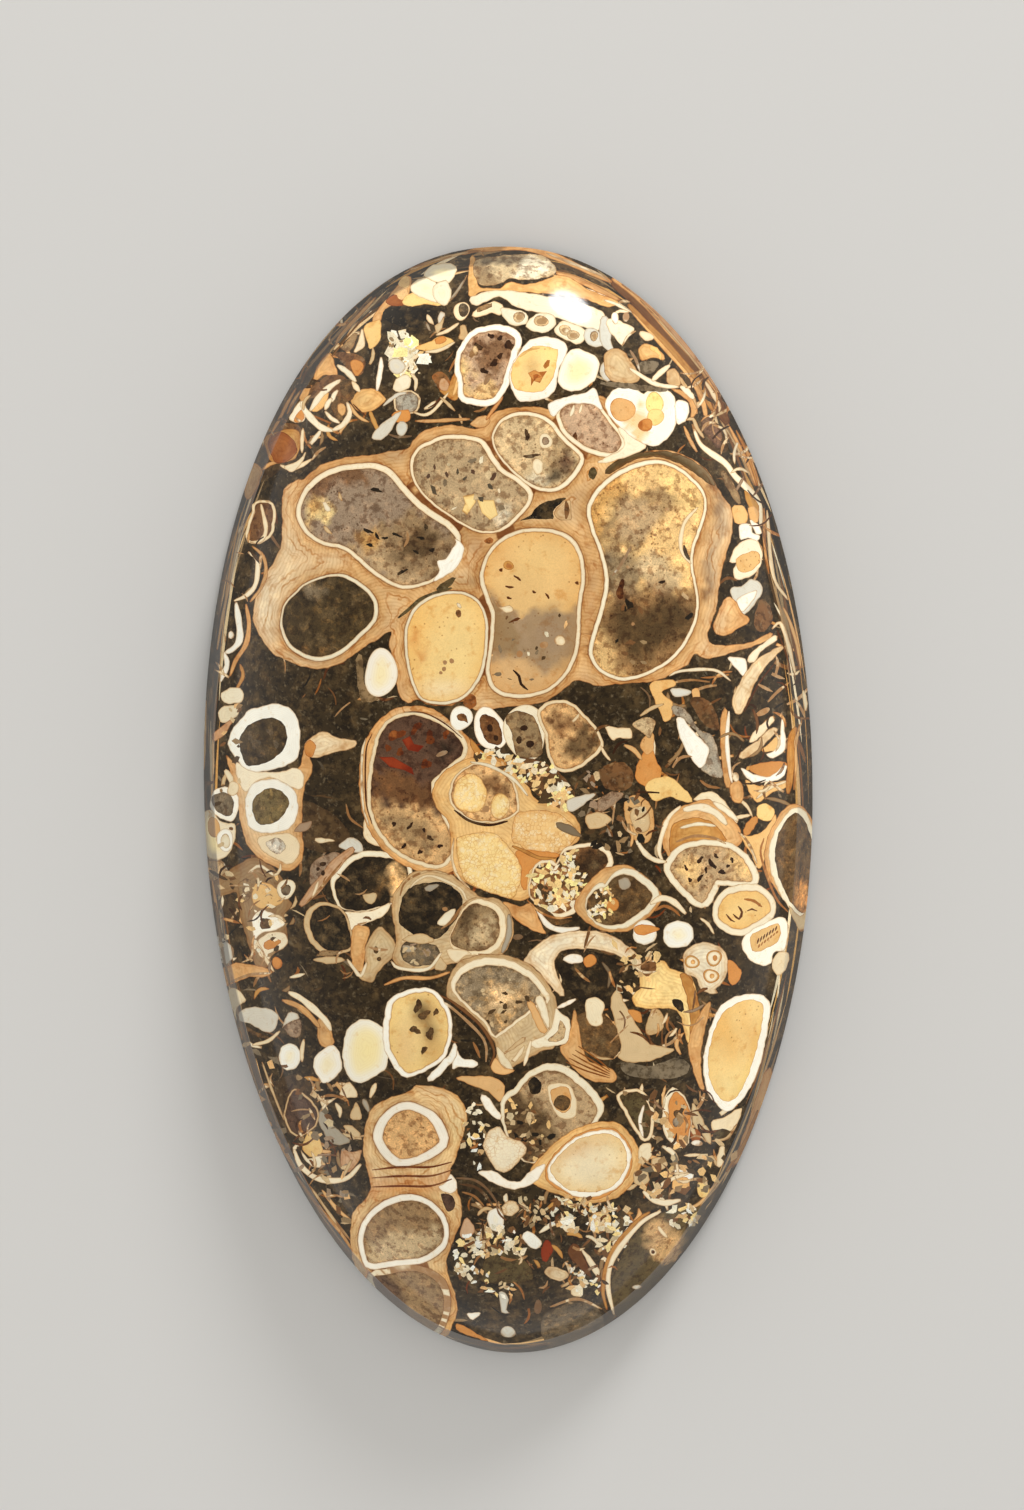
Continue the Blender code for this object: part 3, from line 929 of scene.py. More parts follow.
stainsIn("cellOne",
    ("honey", "672,866 690,858 700,868 696,888 684,886"),
    ("honey", "726,852 744,860 752,876 738,880 728,868"))
bands(
    ("wall", "cream", 5, "681,806 668,819 659,848 663,862"),
    ("wall", "cream", 8, "683,810 700,807 716,813 727,825"),
    ("wall", "cream", 4, "680,828 698,824 716,826"),
    ("wall", "ivory", 3, "676,842 694,836 714,838 726,844"),
    ("wall", "cream", 5.5, "636,840 645,853 655,860 667,862"),
    ("wall", "cream", 6.5, "713,802 727,811 738,821"),
    ("amber", "orange", 9, "757,817 750,826 745,835"),
    ("wall", "ivory", 3, "738,832 745,838 752,850 757,864"))
for x, y, size in ((686, 868, 3), (700, 860, 4), (712, 864, 5), (722, 872, 4), (700, 878, 4), (732, 860, 3),
                   (690, 880, 3), (716, 856, 3), (706, 870, 3), (728, 866, 2.5)):
    oval("mud", "umber", x, y, size, size * 0.6, turn=x * 7, within="cellOne")
bands(
    ("amber", "brown", 2.6, "738,906 742,912 739,919 733,914"),
    ("amber", "brown", 2.2, "726,914 731,920 735,922"),
    ("amber", "brown", 2.2, "747,911 752,909 757,911"),
    ("amber", "ochre", 3, "744,899 754,901 762,907"))
for k in range(7):
    x = 757 + k * 3
    band("amber", "brown", [(x, 944 - k * 2.2), (x + 2, 938 - k * 2)], 1.8, within="cellThree")
    band("amber", "ochre", [(x + 1, 948 - k * 2.4), (x + 3, 944 - k * 2.2)], 1.8, within="cellThree")

# The dark chamber on the right edge
blobs(
    ("lamina", "tan", "787,806 766,842 768,876 790,908 800,920 814,900 818,850 808,812"),
    ("wall", "cream", "794,808 783,818 770,843 771,872 786,904 803,918 814,900 818,850 806,812"),
    ("dark", "umber", "787,819 776,843 777,871 790,901 802,913 808,905 812,880 814,848 "
     "801,815", {"name": "edgeChamber"}),
    ("wall", "beige", "788,905 800,916 808,908 806,925 801,932 796,925"))
stainsIn("edgeChamber",
    ("umber", "788,836 798,826 808,836 812,862 806,890 798,886 790,862"),
    ("orange", "796,898 804,890 806,904 800,912"))
bands(
    ("wall", "tan", 2.5, "764,838 761,856 775,896 788,912"))

# Left edge, above the rings
blobs(
    ("mud", "brown", "257,504 271,505 272,524 268,535 259,541 250,540 249,530 254,516",
     {"wall": 3, "wallPaint": "ivory"}),
    ("lamina", "rust", "268,441 280,432 292,438 297,450 290,460 275,462"),
    ("lamina", "tan", "244,470 252,462 262,470 256,490 246,500"),
    ("wall", "ivory", "284,466 296,462 306,452 300,466 290,472"))
bands(
    ("wall", "ivory", 4.5, "261,504 266,530 260,541 250,542"),
    ("wall", "cream", 5, "248,552 257,560 256,583 247,595 234,601"),
    ("lamina", "tan", 4, "252,546 263,556 266,572 261,588 250,602"),
    ("wall", "white", 7, "236,602 240,636 234,648 225,653"),
    ("wall", "white", 5.5, "224,652 227,665 220,682"),
    ("lamina", "tan", 5, "246,604 249,624 246,644 236,660 230,676"),
    ("wall", "tan", 3, "233,560 228,590 222,620 217,650"),
    ("wall", "beige", 2.5, "243,520 236,550 229,585"),
    ("lamina", "ochre", 4, "240,664 243,676 236,690"))
oval("wall", "white", 231, 635, 3.4, 4)

# The two ringed tubes and the beads at the left edge
blobs(
    ("lamina", "tan", "226,756 236,764 262,774 296,770 304,750 310,756 312,772 304,790 302,830 304,850 "
     "298,866 282,870 248,846 234,786", {"name": "ringBody"}),
    ("wall", "cream", "236,762 250,770 276,772 297,768 304,776 299,790 272,778 256,782 246,792 238,780"),
    ("wall", "white", "228,744 232,730 240,720 249,710 263,706 275,703.5 288,707 297,717 300,731 300,745 "
     "296,760 279,768 266,771 249,771 236,759"),
    ("dark", "ground", "240,748 240,737 248,726 260,719.5 272,718 281,721 286,730 287,741 282,751 274,758.5 "
     "262,764 249,766 243,759", {"name": "ringHole"}),
    ("wall", "white", "246,796 245,808 247,821 252,830 264,833 280,832 293,825 298,811 297,796 290,786 "
     "275,779 258,781 250,787"),
    ("dark", "olive", "253,801 259,793 271,788 282,791.5 288.5,800 288.5,807 283,815 276,822 264,825 "
     "256,821 252.5,811", {"name": "ringHoleTwo"}),
    ("wall", "ivory", "258,838 285,833 297,838 300,850 296,860 287,864 264,852"),
    ("mud", "paleGrey", "266,842 278,838 286,846 280,854 270,850"),
    ("lamina", "ivory", "304,747 310,738 325,731 335,737 356,741 352,749 340,751 312,758"),
    ("amber", "orange", "304,747 310,740 316,745 312,757 306,755"),
    ("wall", "white", "212,793 222,787 233,790 239,800 233,821 212,812"),
    ("mud", "smoke", "212,797 222,792 231,796 234,806 231,815 223,815 214,808"),
    ("pearl", "cream", "204,812 212,811 222,822 236,826 229,854 209,858 202,828"),
    ("amber", "tan", "211,816 218,821 220,831 216,838 209,834 208,823"),
    ("mud", "mud", "205,864 213,860 223,864 226,873 219,880 208,878",
     {"wall": 1.6, "wallPaint": "paleGrey"}),
    ("wall", "cream", "221,693 230,688 240,688 244,694 241,702 228,704 222,700"),
    ("wall", "ivory", "219,710 228,705 240,707 238,715 228,722 220,722"),
    ("lamina", "pinkTan", "212,735 233,718 226,733 215,741"),
    ("wall", "beige", "221,786 222,778 226,773 225,785"),
    ("wall", "ivory", "224,771 229,770 234,780 230,784"),
    ("wall", "ivory", "227,790 232,781 239,785 236,795 229,795"))
oval("wall", "white", 225, 840, 9, 11)
oval("pearl", "cream", 225.5, 841, 5, 7)
for x, y, wide, high in ((256, 744, 6, 4), (270, 732, 4, 3), (262, 754, 5, 3), (276, 744, 3, 4),
                         (250, 736, 3, 4)):
    oval("dark", "slate", x, y, wide, high, within="ringHole")

# Lower left edge: sponge of tan shell with small rings
blobs(
    ("lamina", "dun", "214,882 250,858 268,864 281,876 286,894 292,906 284,916 288,934 286,946 272,956 "
     "268,968 256,966 250,950 240,916 236,893 226,896 216,894"),
    ("ground", "umber", "222,896 234,896 240,912 236,926 226,920 218,906"),
    ("amber", "honey", "252,900 256,884 270,884 284,900 264,909"),
    ("mud", "dun", "238,886 246,878 252,884 250,898 242,902"),
    ("wall", "white", "252,919 262,910 274,914 285,924 276,930 262,933 255,939"),
    ("dark", "umber", "260,922 266,918 272,922 270,928 262,929"),
    ("wall", "cream", "257,946 261,937 272,932 284,933 288,940 283,949 273,952 269,959 260,957"),
    ("amber", "orange", "263,946 268,940 278,939 281,943 268,950"),
    ("wall", "paleGrey", "219,936 234,951 226,965 214,950"),
    ("lamina", "tan", "216,974 236,963 272,970 264,977 246,978 218,990"),
    ("wall", "mauve", "294,832 300,824 312,821 308,830"),
    ("wall", "ivory", "315,838 325,838 335,841 318,843"),
    ("wall", "paleGrey", "339,847 350,837 360,842 364,849 358,853"),
    ("wall", "ivory", "363,833 366,815 372,826 384,847 368,842"),
    ("mud", "mauve", "313,862 335,852 341,856 332,866 311,885"),
    ("dark", "black", "335,888 339,877 358,859 386,858 407,868 400,897 370,909 350,910 340,904",
     {"wall": 4, "wallPaint": "cream", "thick": (0, 0.6), "name": "sackBelow"}),
    ("wall", "beige", "363,895 376,893 375,902 368,904"),
    ("wall", "cream", "342,912 370,911 389,903 385,915 362,926 352,942 346,918"),
    ("dark", "black", "318,907 338,909 346,920 350,947 325,949 "
     "310,927", {"wall": 4, "wallPaint": "beige", "thick": (-0.5, 0)}),
    ("wall", "beige", "313,960 330,956 346,960 330,964"),
    ("mud", "dun", "316,956 322,951 340,951 335,955"),
    ("lamina", "beige", "358,976 365,965 364,950 375,930 382,927 397,945 394,956 378,972 372,983"),
    ("lamina", "tan", "352,930 362,925 370,930 366,945 364,965 362,972 352,965"))
stainsIn("sackBelow",
    ("tan", "388,868 401,871 405,884 390,904 391,884"),
    ("umber", "372,874 382,871 390,880 386,892 376,894"))
bands(
    ("wall", "cream", 3.5, "248,873 260,866 276,877"),
    ("wall", "cream", 3, "228,983 249,975 271,973"),
    ("wall", "ivory", 4, "256,940 264,956 274,972"),
    ("lamina", "pinkTan", 11, "300,906 318,886 338,862 354,848"),
    ("wall", "beige", 2.5, "306,904 324,884 342,862"),
    ("wall", "beige", 2.5, "346,804 350,818 363,828"),
    ("wall", "cream", 4, "347,959 355,970 361,976 367,962"),
    ("wall", "tan", 3, "212,880 216,905 219,930"),
    ("wall", "beige", 3, "206,700 205,730 204,770"),
    ("wall", "dun", 3, "216,905 219,930 224,960 230,985"))
oval("pearl", "cream", 286, 889, 9.5, 10)
oval("mud", "smoke", 286, 890, 5, 5.5)
oval("amber", "orange", 277, 963, 5, 6.5)
oval("dark", "umber", 376, 950, 3, 3.6)
oval("dark", "umber", 379, 959, 2.2, 2.4)
oval("mud", "umber", 323, 864, 3.4, 2.4)
oval("mud", "umber", 323, 873, 2, 3)
oval("mud", "umber", 318, 869, 2, 2)
crumbs("244,862 262,862 284,880 288,905 280,950 262,962 250,940 240,900", 34, (1.2, 3),
    ("cream", "dun", "umber", "honey", "ivory"), 41)
crumbs("212,730 240,705 244,760 240,900 222,960 212,930 206,840", 34, (1.2, 3.6),
    ("dun", "brown", "beige", "tan", "umber"), 42)

# The brown sack with its double wall
blobs(
    ("lamina", "tan", "368,735 392,710 420,706 440,713 472,742 470,766 447,786 444,800 460,828 462,862 "
     "450,873 430,875 392,858 366,824 359,775"),
    ("mud", "plum", "379,740 393,721 418,716 450,731 463,751 440,773 431,790 451,838 446,860 431,864 "
     "399,851 377,824 371,791",
     {"wall": 4.5, "wallPaint": "ivory", "thick": (0.1, 0), "name": "sack"}),
    ("amber", "red", "379,757 393,757 412,768 414,775 404,770 390,767", {"sharp": True}),
    ("amber", "red", "402,740 410,736 414,744 424,746 418,752 408,750", {"sharp": True}))
stainsIn("sack",
    ("brown", "372,770 386,772 420,782 434,786 436,806 424,812 384,800 372,796"),
    ("tan", "368,800 384,804 424,810 438,808 456,830 458,860 430,872 396,856 374,826"),
    ("dun", "384,812 404,816 436,832 434,846 416,846 398,838 386,826"),
    ("black", "440,742 452,742 458,750 450,758 440,754"))
for x, y, wide, high in ((396, 735, 8, 5), (416, 728, 6, 4), (430, 738, 6, 5), (388, 748, 4, 3),
                         (426, 764, 6, 4),
                         (400, 752, 5, 3), (446, 734, 5, 3)):
    oval("mud", "rust", x, y, wide, high, turn=x, within="sack")
for x, y, wide, high in ((404, 846, 3, 2), (420, 852, 3, 2), (430, 838, 2, 4), (410, 826, 4, 2),
                         (394, 824, 3, 2),
                         (440, 846, 2, 3), (424, 830, 2, 2)):
    oval("mud", "umber", x, y, wide, high, turn=x, within="sack")
oval("wall", "paleGrey", 442, 753.6, 6, 2.5, turn=20)
bands(
    ("wall", "brown", 1.8, "372,734 366,752 366,800 372,824"),
    ("wall", "cream", 3, "366,738 362,756 363,804 369,826"),
    ("wall", "brown", 1.5, "404,712 424,713 444,723 462,738"))

# Small rings in a row under the big whorls
oval("wall", "white", 461, 718, 11, 13)
oval("wall", "white", 490, 729, 16, 22, turn=12)
oval("wall", "cream", 525, 732, 22, 27, turn=20)
blobs(
    ("dark", "brown", "456,716 461,713 466,716 468,723 464,721 458,720"),
    ("mud", "brown", "480,718 486,714 499,723 502,742 494,745 486,740 481,730"),
    ("mud", "dun", "506,717 515,711 527,713 537,722 543,748 537,757 517,755 511,730 506,724"),
    ("mud", "tan", "541,712 560,703 577,711 600,742 578,765 560,768 551,756 548,735",
     {"wall": 3.5, "wallPaint": "ivory", "name": "ringFour"}),
    ("lamina", "ochre", "470,738 486,754 502,758 512,764 530,766 520,770 478,756"))
stainsIn("ringFour",
    ("brown", "552,716 566,712 580,722 576,732 562,734 554,726"),
    ("umber", "566,742 574,730 590,728 598,742 590,756 576,760 567,752"))
for x, y, wide, high in ((524, 728, 4, 3), (530, 744, 4, 4), (519, 740, 3, 4), (490, 728, 3, 4),
                         (496, 738, 2.5, 3)):
    oval("mud", "umber", x, y, wide, high)

# The honey nodules
blobs(
    ("lamina", "honey", "432,795 438,778 455,764 478,757 505,764 527,784 537,800 560,806 576,818 580,838 "
     "556,858 560,867 542,880 531,896 515,900 464,882 452,866 449,825 438,810"),
    ("ground", "brown", "506,760 530,758 556,770 574,792 570,808 548,803 518,776"))
crumbs("475,750 500,750 522,760 546,762 558,775 572,795 566,810 546,803 530,788 515,776 490,765 476,760",
    150, (1.3, 4.2), ("cream", "ivory", "honey", "yellow", "tan", "umber"), 51)
blobs(
    ("mud", "tan", "452,800 458,776 480,765 508,778 517,806 508,817 490,821 "
     "470,818", {"wall": 2.5, "wallPaint": "ivory", "name": "noduleChamber"}),
    ("grain", "gold", "453,795 458,780 470,773 482,780 487,795 481,810 466,812 456,806"),
    ("grain", "gold", "461,836 488,832 501,838 521,866 515,896 500,896 470,884 461,872 "
     "456,845", {"name": "noduleLeft"}),
    ("grain", "honey", "514,818 525,811 555,812 576,828 577,838 555,854 528,851 520,845 512,841"),
    ("amber", "orange", "515,852 530,850 560,855 535,866 528,876 527,890 521,886 521,866"),
    ("dark", "brown", "535,870 545,863 557,866 565,852 591,847 603,852 608,862 601,873 598,885 582,897 "
     "570,909 555,913 531,895",
     {"wall": 4, "wallPaint": "cream", "thick": (0.5, 0), "name": "crumbChamber"}))
stainsIn("noduleChamber",
    ("brown", "478,780 490,774 505,777 514,790 513,802 500,795 486,792"))
stainsIn("crumbChamber",
    ("black", "572,862 576,851 590,848 602,853 607,862 600,872 597,885 588,893"))
oval("grain", "gold", 500, 806, 10, 12.5)
oval("wall", "cream", 486, 809, 3.6, 3.6)
crumbs("533,872 546,862 558,866 566,852 578,850 574,862 582,872 588,884 580,898 568,911 554,914 540,906 "
    "530,893", 150, (1.2, 3.6), ("cream", "yellow", "honey", "gold", "ivory", "umber"), 52)
blobs(
    ("lamina", "tan", "503,902 520,906 533,904 541,924 546,934 530,929 514,918"),
    ("dark", "umber", "533,906 545,909 560,919 573,920 560,925 545,921"))
bands(
    ("wall", "cream", 4, "470,762 490,766 513,779 528,796"),
    ("wall", "ivory", 3, "454,838 452,858 458,876 470,889"),
    ("wall", "umber", 3, "454,810 470,821 490,825 508,821"),
    ("wall", "white", 6, "537,910 548,925 562,930 580,928"),
    ("wall", "tan", 2.4, "527,900 540,912 556,918 572,917"),
    ("lamina", "ochre", 4, "512,846 522,850 540,858 556,858"))
crumbs("580,770 640,790 640,850 612,852 585,842 580,815", 60, (1.5, 4.5),
    ("umber", "dun", "black", "smoke", "brown", "beige", "mauve"), 53)
blobs(
    ("wall", "paleGrey", "566,802 578,796 596,794 572,812"),
    ("mud", "mauve", "598,800 612,792 624,794 612,806 600,812"),
    ("wall", "beige", "586,816 600,812 612,820 600,828 588,828"),
    ("ground", "brown", "600,770 622,762 634,776 626,790 606,788"),
    ("wall", "smoke", "556,822 572,826 582,836 574,836 560,830"))

# Dark cells and the grey bones below them
blobs(
    ("lamina", "beige", "410,874 430,870 450,874 480,896 496,898 508,908 514,926 510,944 500,956 480,962 "
     "460,962 420,972 400,968 392,956 396,940 392,900"),
    ("dark", "black", "411,887 445,883 463,903 444,934 425,939 401,925 400,907"),
    ("dark", "slate", "402,945 412,940 436,946 440,956 432,964 414,966 402,958"),
    ("wall", "grey", "424,888 432,884 439,885 430,892"),
    ("wall", "cream", "437,924 445,913 456,908 452,918 444,926"),
    ("mud", "dun", "464,911 477,904 497,914 497,940 478,951 "
     "451,942", {"wall": 4.5, "wallPaint": "ivory", "thick": (0.6, 0), "name": "dunCell"}),
    ("wall", "beige", "402,940 420,933 434,940 425,944"),
    ("wall", "grey", "402,945 417,948 408,953"),
    ("wall", "ivory", "447,950 460,949 472,954 463,957 458,963 450,959"),
    ("wall", "beige", "434,968 440,957 447,966 442,971"))
stainsIn("dunCell",
    ("umber", "462,914 472,908 480,914 474,922 464,922"),
    ("beige", "478,922 490,918 496,930 488,944 476,940"))
bands(
    ("wall", "ivory", 3.4, "410,888 418,880 432,876 459,888 467,901"),
    ("wall", "beige", 2.4, "400,896 404,884 416,875 432,871 450,875"),
    ("wall", "beige", 3, "484,898 473,899 461,908 452,921 441,929"),
    ("wall", "grey", 6, "509,914 509,934 502,953"),
    ("wall", "cream", 4, "391,961 399,968 427,969 442,952"),
    ("wall", "beige", 3, "478,954 494,956 508,956"),
    ("lamina", "tan", 4, "384,985 404,978 430,978 450,972"))
oval("wall", "grey", 518, 937, 5, 3)
oval("wall", "ivory", 445, 909, 3, 2)
crumbs("404,944 430,944 438,958 424,966 406,960", 14, (1.4, 3), ("beige", "mauve", "dun"), 54)

# The great arc and what lies in it
blobs(
    ("lamina", "beige", "446,990 459,962 496,954 532,966 556,1000 556,1044 540,1052 506,1070 492,1068 "
     "496,1046 468,1012 452,1002"),
    ("dark", "smoke", "456,990 470,970 500,966 528,978 545,1000 536,1005 500,1032 494,1035 487,1022",
     {"wall": 5, "wallPaint": "cream", "thick": (0, 0.5), "name": "greatArc"}),
    ("lamina", "cream", "524,959 553,935 602,932 634,951 643,966 640,974 630,962 600,950 566,950 556,958 "
     "556,972 564,990 560,996 534,967"),
    ("dark", "black", "558,960 568,952 586,950 618,960 622,974 616,990 600,1000 580,1000 560,976"),
    ("wall", "white", "563,960 570,954 581,955 583,961 572,964"),
    ("amber", "orange", "584,958 592,954 597,962 590,967 584,965"),
    ("wall", "tan", "527,1003 533,1002 545,1025 547,1032 540,1032"),
    ("wall", "cream", "535,1000 543,997 548,1012 549,1030"),
    ("wall", "cream", "530,1042 545,1035 553,1022 555,1008 562,1014 570,1020 570,1040 560,1045 535,1048"),
    ("mud", "beige", "548,1040 558,1030 560,1020 565,1026 564,1038 556,1042"),
    ("dark", "umber", "575,1020 586,1012 604,1014 618,1030 620,1046 612,1058 592,1056 580,1042"),
    ("wall", "ivory", "586,1000 598,998 605,1005 602,1015 603,1024 594,1026 587,1020"),
    ("lamina", "tan", "560,1050 568,1040 575,1010 585,1055 600,1065 614,1070 614,1082 585,1078"),
    ("wall", "white", "456,1050 462,1058 475,1060 478,1065 470,1068 458,1067 452,1069"),
    ("wall", "beige", "503,1053 512,1046 522,1037 525,1041 505,1054"),
    ("wall", "ivory", "511,1061 524,1045 522,1055 515,1062"),
    ("wall", "ivory", "497,1046 510,1062 513,1071 505,1068 498,1058"),
    ("wall", "tan", "491,1070 495,1058 505,1068 515,1070 505,1075"))
stainsIn("greatArc",
    ("dun", "490,985 522,985 530,995 526,1010 512,1019 500,1036 488,1024 477,1013 484,1000"),
    ("mud", "494,990 506,986 516,992 512,1004 500,1008 492,1002"))
bands(
    ("wall", "white", 4.5, "557,1008 566,1004 576,999"),
    ("wall", "beige", 3, "590,1052 600,1058 613,1059"),
    ("wall", "brown", 3.5, "439,995 454,1003 481,1026 494,1050 490,1066"),
    ("wall", "cream", 3, "436,999 452,1008 478,1032 486,1046 486,1062"),
    ("wall", "beige", 3, "473,1042 477,1050 480,1058"),
    ("wall", "cream", 4.5, "531,1040 528,1052 524,1066"),
    ("wall", "beige", 3, "575,968 582,976 590,982"),
    ("wall", "smoke", 4, "602,962 610,974 608,988"))
for k in range(5):
    band("lamina", "ochre",
         [(566 + k * 3, 1062 - k * 4), (584 + k * 3, 1070 - k * 3), (610, 1078 - k * 2)], 1.6)
crumbs("462,1000 520,972 552,1010 520,1060 480,1040", 26, (1.2, 3), ("umber", "beige", "dun"), 61,
    within="greatArc")

# The forked bone and the golden mass beside it
blobs(
    ("lamina", "gold", "640,985 640,970 662,960 670,968 690,976 697,994 699,1030 689,1046 680,1016 671,1009 "
     "640,1008 632,998"),
    ("lamina", "ochre", "680,974 692,980 701,1020 690,1046 690,1020 686,996"),
    ("dark", "black", "672,1000 681,1000 684,1010 678,1011"),
    ("wall", "beige", "613,993 611,1007 621,1047 617,1056 627,1062 650,1061 674,1050 655,1045 647,1041 "
     "629,1011 619,992"),
    ("wall", "cream", "615,997 638,1040 650,1050 640,1052 628,1042 620,1026"),
    ("amber", "beige", "652,1010 660,1010 664,1020 662,1030 652,1035 645,1030"),
    ("amber", "orange", "628,1010 640,1012 642,1022 634,1020"),
    ("ground", "smoke", "622,1062 650,1066 676,1058 690,1066 676,1078 630,1076"))
crumbs("600,940 650,950 660,970 640,990 610,992 620,965", 30, (1.4, 4),
    ("tan", "beige", "honey", "umber", "brown"), 62)

# The dark chamber, the beads and the shells beside them
blobs(
    ("lamina", "tan", "574,906 594,876 612,866 634,868 662,898 634,928 612,932 592,926"),
    ("dark", "umber", "607,886 614,878 628,875 649,890 650,902 630,919 615,925 600,923 589,914 587,902 "
     "595,891",
     {"wall": 5, "wallPaint": "cream", "thick": (0.6, 0.2), "name": "beadChamber"}),
    ("amber", "orange", "606,906 611,898 618,900 618,908 611,912"),
    ("wall", "grey", "618,880 628,878 631,886 622,890"),
    ("pearl", "white", "633,932 636,923 644,920 653,923 657,932 654,941 644,945 635,941"),
    ("amber", "orange", "634,929 642,924 660,929 644,935 636,934"),
    ("pearl", "white", "663,938 665,927 674,921 685,922 693,928 693,938 687,946 675,948 666,945"),
    ("lamina", "cream", "685,951 706,942 726,953 726,977 716,989 718,993 710,994 700,988 695,977 685,973"),
    ("amber", "orange", "728,960 741,970 738,982 730,984"),
    ("ground", "brown", "640,966 654,962 656,970 646,976"))
crumbs("588,914 594,892 604,884 614,892 612,910 604,922", 46, (1.1, 2.8),
    ("honey", "cream", "tan", "yellow", "umber"), 63, within="beadChamber")
bands(
    ("wall", "cream", 6.5, "650,904 662,898 674,902 686,914"),
    ("wall", "tan", 3, "655,911 664,906 674,910 680,916"),
    ("wall", "ivory", 3.5, "700,918 708,924 714,934"))
for x, y, size in ((692, 962, 6.5), (714, 958, 7.5), (711, 976, 7)):
    oval("amber", "ochre", x, y, size + 0.8, size + 0.4)
    oval("pearl", "cream", x, y, size - 0.7, size - 1)
    oval("amber", "honey", x + 1, y, size * 0.35, size * 0.4)

# The four discs and the shards at the lower left
blobs(
    ("wall", "ivory", "228,990 238,990 246,1000 237,1008 235,1024"),
    ("wall", "paleGrey", "237,1016 243,1009 258,1007 272,1010 279,1018 270,1033 250,1024 241,1022"),
    ("wall", "paleGrey", "288,1013 298,1014 300,1018 286,1024 282,1028"),
    ("mud", "mauve", "284,1026 300,1020 301,1034 296,1038 288,1034"),
    ("lamina", "tan", "318,1020 326,1016 334,1042 326,1048 318,1040"),
    ("pearl", "white", "279,1054 283,1046 291,1043 299,1049 301,1059 296,1068 287,1070 280,1064",
     {"name": "pale"}),
    ("pearl", "white", "313,1061 330,1045 338,1050 342,1062 339,1074 323,1083",
     {"name": "pale"}),
    ("pearl", "white", "347,1030 366,1019 387,1033 388,1062 379,1074 356,1083 "
     "343,1063", {"name": "discThree"}),
    ("amber", "gold", "392,1009 400,998 425,992 437,999 448,1022 442,1054 418,1070 405,1071 390,1045",
     {"wall": 5, "wallPaint": "white", "thick": (-0.2, 0), "name": "discFour"}),
    ("wall", "white", "455,1042 457,1055 446,1069 433,1081 427,1078 448,1055"),
    ("wall", "grey", "324,1104 328,1116 336,1128 350,1140 342,1145 330,1142 318,1120"),
    ("wall", "beige", "356,1102 361,1112 360,1120 350,1118"),
    ("wall", "ivory", "335,1103 342,1108 340,1118"),
    ("wall", "beige", "343,1126 352,1126 361,1134 355,1138"),
    ("wall", "ivory", "346,1082 353,1085 357,1097 340,1096"),
    ("mud", "plum", "295,1091 316,1110 314,1125 300,1135 290,1128 286,1112",
     {"wall": 2, "wallPaint": "beige"}),
    ("amber", "amber", "303,1142 308,1133 314,1132 321,1142 322,1152 315,1158 304,1152"),
    ("wall", "cream", "301,1150 308,1158 322,1156 320,1168 306,1162"),
    ("lamina", "pinkTan", "341,1150 352,1152 362,1150 358,1162 350,1172 342,1168"))
bands(
    ("dark", "umber", 4, "244,1026 256,1034 270,1038"),
    ("wall", "ivory", 4, "252,1045 268,1041 280,1031"),
    ("wall", "cream", 7, "288,992 303,1000 325,1020 331,1031"),
    ("lamina", "tan", 6, "282,1000 298,1006 310,1016 320,1028"),
    ("wall", "ivory", 4.5, "304,1039 302,1050 302,1062"),
    ("wall", "beige", 2.6, "317,1102 325,1096 336,1096 347,1101"),
    ("wall", "grey", 5.5, "363,1099 366,1105 369,1112"),
    ("wall", "ivory", 5.5, "376,1083 373,1090 370,1098"),
    ("wall", "ivory", 3, "309,1108 312,1114 315,1120"),
    ("wall", "cream", 6, "294,1149 301,1166 319,1179 345,1179 361,1164"),
    ("lamina", "tan", 5, "238,1040 262,1110 296,1172"),
    ("wall", "dun", 3, "232,1010 240,1046 254,1086 270,1122"),
    ("lamina", "ochre", 4, "296,1176 316,1204 340,1232 352,1250"),
    ("wall", "beige", 2.6, "262,1062 272,1090 284,1120"),
    ("wall", "tan", 4, "322,1190 336,1208 352,1222"),
    ("wall", "beige", 3, "310,1186 328,1212 350,1240"))
for x, y, wide, high, angle in ((418, 1006, 4, 6, 0), (424, 1015, 6, 4, 10), (430, 1034, 4, 6, 20),
                                (415, 1030, 5, 4, 0), (424, 1050, 4, 3, 30), (436, 1012, 2.5, 4, 0)):
    oval("dark", "umber", x, y, wide, high, turn=angle, within="discFour")
crumbs("236,1040 300,1072 320,1100 352,1150 352,1230 320,1200 280,1140 250,1080", 60, (1.4, 4.5),
    ("umber", "brown", "beige", "dun", "smoke", "tan", "mauve"), 64)

# The honey body at the bottom left with its two ringed chambers
blobs(
    ("lamina", "honey", "368,1116 380,1102 407,1092 420,1085 452,1092 467,1114 458,1152 450,1174 457,1188 "
     "462,1216 450,1250 447,1268 457,1302 454,1322 440,1340 400,1325 372,1296 353,1262 352,1216 370,1190 "
     "363,1150", {"name": "lowerBody"}),
    ("mud", "tan", "383,1138 391,1118 407,1110 427,1118 438,1136 436,1145 414,1157 397,1157",
     {"wall": 9, "wallPaint": "white", "flow": True, "name": "honeyRing"}),
    ("mud", "dun", "364,1235 374,1216 396,1203 420,1202 439,1217 443,1239 424,1256 396,1260 372,1263 "
     "366,1256", {"wall": 6, "wallPaint": "white", "flow": True, "name": "halfRing"}),
    ("mud", "dun", "373,1281 386,1275 414,1271 436,1281 444,1301 438,1326 422,1336 "
     "396,1322", {"wall": 6.5, "wallPaint": "cream", "flow": True, "name": "lastRing"}),
    ("wall", "white", "438,1187 446,1182 450,1174 456,1180 457,1188 450,1194"))
stainsIn("lowerBody",
    ("orange", "368,1180 390,1176 420,1176 448,1172 452,1184 440,1192 384,1196 368,1196"))
stainsIn("halfRing",
    ("beige", "370,1250 390,1236 416,1230 440,1236 430,1254 400,1262 376,1264"))
